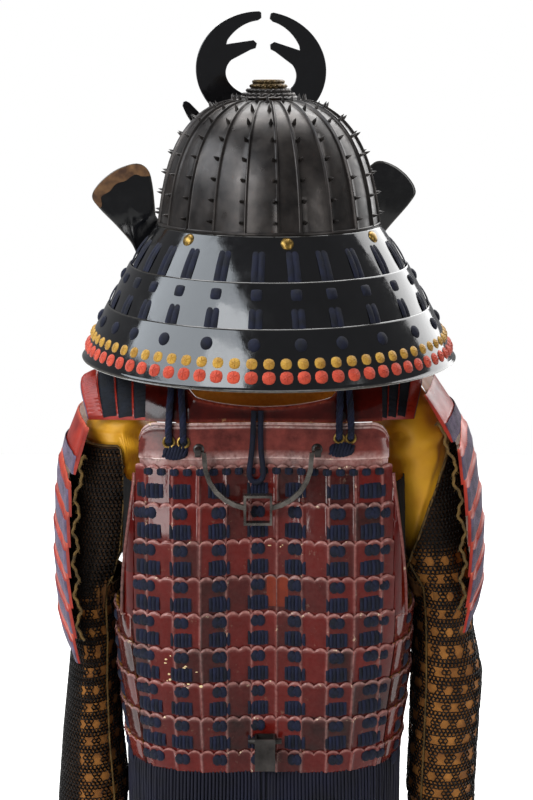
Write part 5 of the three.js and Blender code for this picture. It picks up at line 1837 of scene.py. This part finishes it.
def keep(node, material, bevel=0.5):
    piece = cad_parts[node]
    piece.data.materials.clear()
    piece.data.materials.append(material)
    softer = piece.modifiers.new("softened", "BEVEL")
    softer.width = bevel * MM
    softer.segments = 2
    softer.limit_method = "ANGLE"
    softer.angle_limit = math.radians(35)


keep("crest_holder", BLACK)
keep("pole_bracket", STEEL, 0.7)
keep("pole_socket", IRON_FITTING, 0.7)


# Floor and light

FLOOR_HALF, FLOOR_DROP = 2.4, 0.004
COOL, WHITE = (0.86, 0.93, 1.0), (1, 1, 1)

# Lamps: name, place, what it faces, its two sizes, its power and its colour
LAMPS = (
    ("strip_left", (-1.8, -0.8, 1.5), (0, 0, 0.1), (3.9, 1.2), 80, COOL),
    ("panel_left", (-1.25, -1.9, 0.75), (0, 0, 0), (1.1, 2.0), 26, WHITE),
    ("panel_right", (1.5, 1.4, 1.0), (0, 0, 0.15), (1.4, 2.0), 34, WHITE),
    ("fill_right", (1.7, -1.3, 0.2), (0, 0, -0.2), (0.5, 1.6), 10, WHITE),
    ("low_left", (-0.75, -1.45, -0.5), (-0.05, 0, -0.2), (0.5, 0.3), 5, WHITE),
    ("top", (0.0, 0.3, 2.4), (0, 0, 0), (1.4, 1.4), 16, WHITE),
    ("front_fill", (0.4, 2.2, 1.2), (0, 0, -0.1), (1.8, 1.8), 34, WHITE),
    ("backdrop", (0, 1.3, 2.2), (0, 1.5, -0.7), (2.4, 2.0), 90, WHITE),
)


def lay_floor():
    """A pale floor with painted shade towards the camera, which dims its reflection in the lacquer."""
    floor = bpy.data.meshes.new("floor")
    corners = []
    for x, y in ((-1, -1), (1, -1), (1, 1), (-1, 1)):
        corners.append((x * FLOOR_HALF, y * FLOOR_HALF, cad_box[0][2] - FLOOR_DROP))
    floor.from_pydata(corners, [], [(0, 1, 2, 3)])
    look = Look("pale_floor", rough=0.9, specular=0.1)
    along = look.node("ShaderNodeSeparateXYZ")
    look.link(look.place, along.inputs[0])
    reach = look.node("ShaderNodeMapRange")
    look.link(along.outputs["Y"], reach.inputs["Value"])
    for socket, value in (("From Min", -0.6), ("From Max", 0.5)):
        reach.inputs[socket].default_value = value
    look.base(look.mix(reach.outputs[0], colour(0xA6A5A3), colour(0xF6F5F3)))
    floor.materials.append(look.material)
    piece = bpy.data.objects.new("floor", floor)
    bpy.context.scene.collection.objects.link(piece)


def light_sky():
    """A soft grey light all round. The camera itself sees white."""
    world = bpy.data.worlds.new("studio")
    world.use_nodes = True
    nodes, links = world.node_tree.nodes, world.node_tree.links
    soft = nodes["Background"]
    soft.inputs["Color"].default_value = (0.95, 0.96, 1.0, 1)
    soft.inputs["Strength"].default_value = 0.24
    white = nodes.new("ShaderNodeBackground")
    white.inputs["Color"].default_value = (1, 1, 1, 1)
    direct, both = nodes.new("ShaderNodeLightPath"), nodes.new("ShaderNodeMixShader")
    links.new(direct.outputs["Is Camera Ray"], both.inputs[0])
    links.new(soft.outputs[0], both.inputs[1])
    links.new(white.outputs[0], both.inputs[2])
    links.new(both.outputs[0], nodes["World Output"].inputs["Surface"])
    bpy.context.scene.world = world
    bpy.context.scene.view_settings.view_transform = "Standard"


def hang_lamps():
    for name, place, aim, size, power, tint in LAMPS:
        data = bpy.data.lights.new(name, "AREA")
        data.shape = "RECTANGLE"
        data.size, data.size_y = size
        data.energy = power
        data.color = tint
        lamp = bpy.data.objects.new(name, data)
        lamp.location = place
        lamp.visible_camera = False
        lamp.rotation_mode = "QUATERNION"
        lamp.rotation_quaternion = (Vector(aim) - Vector(place)).to_track_quat("-Z", "Y")
        bpy.context.scene.collection.objects.link(lamp)


lay_floor()
light_sky()
hang_lamps()
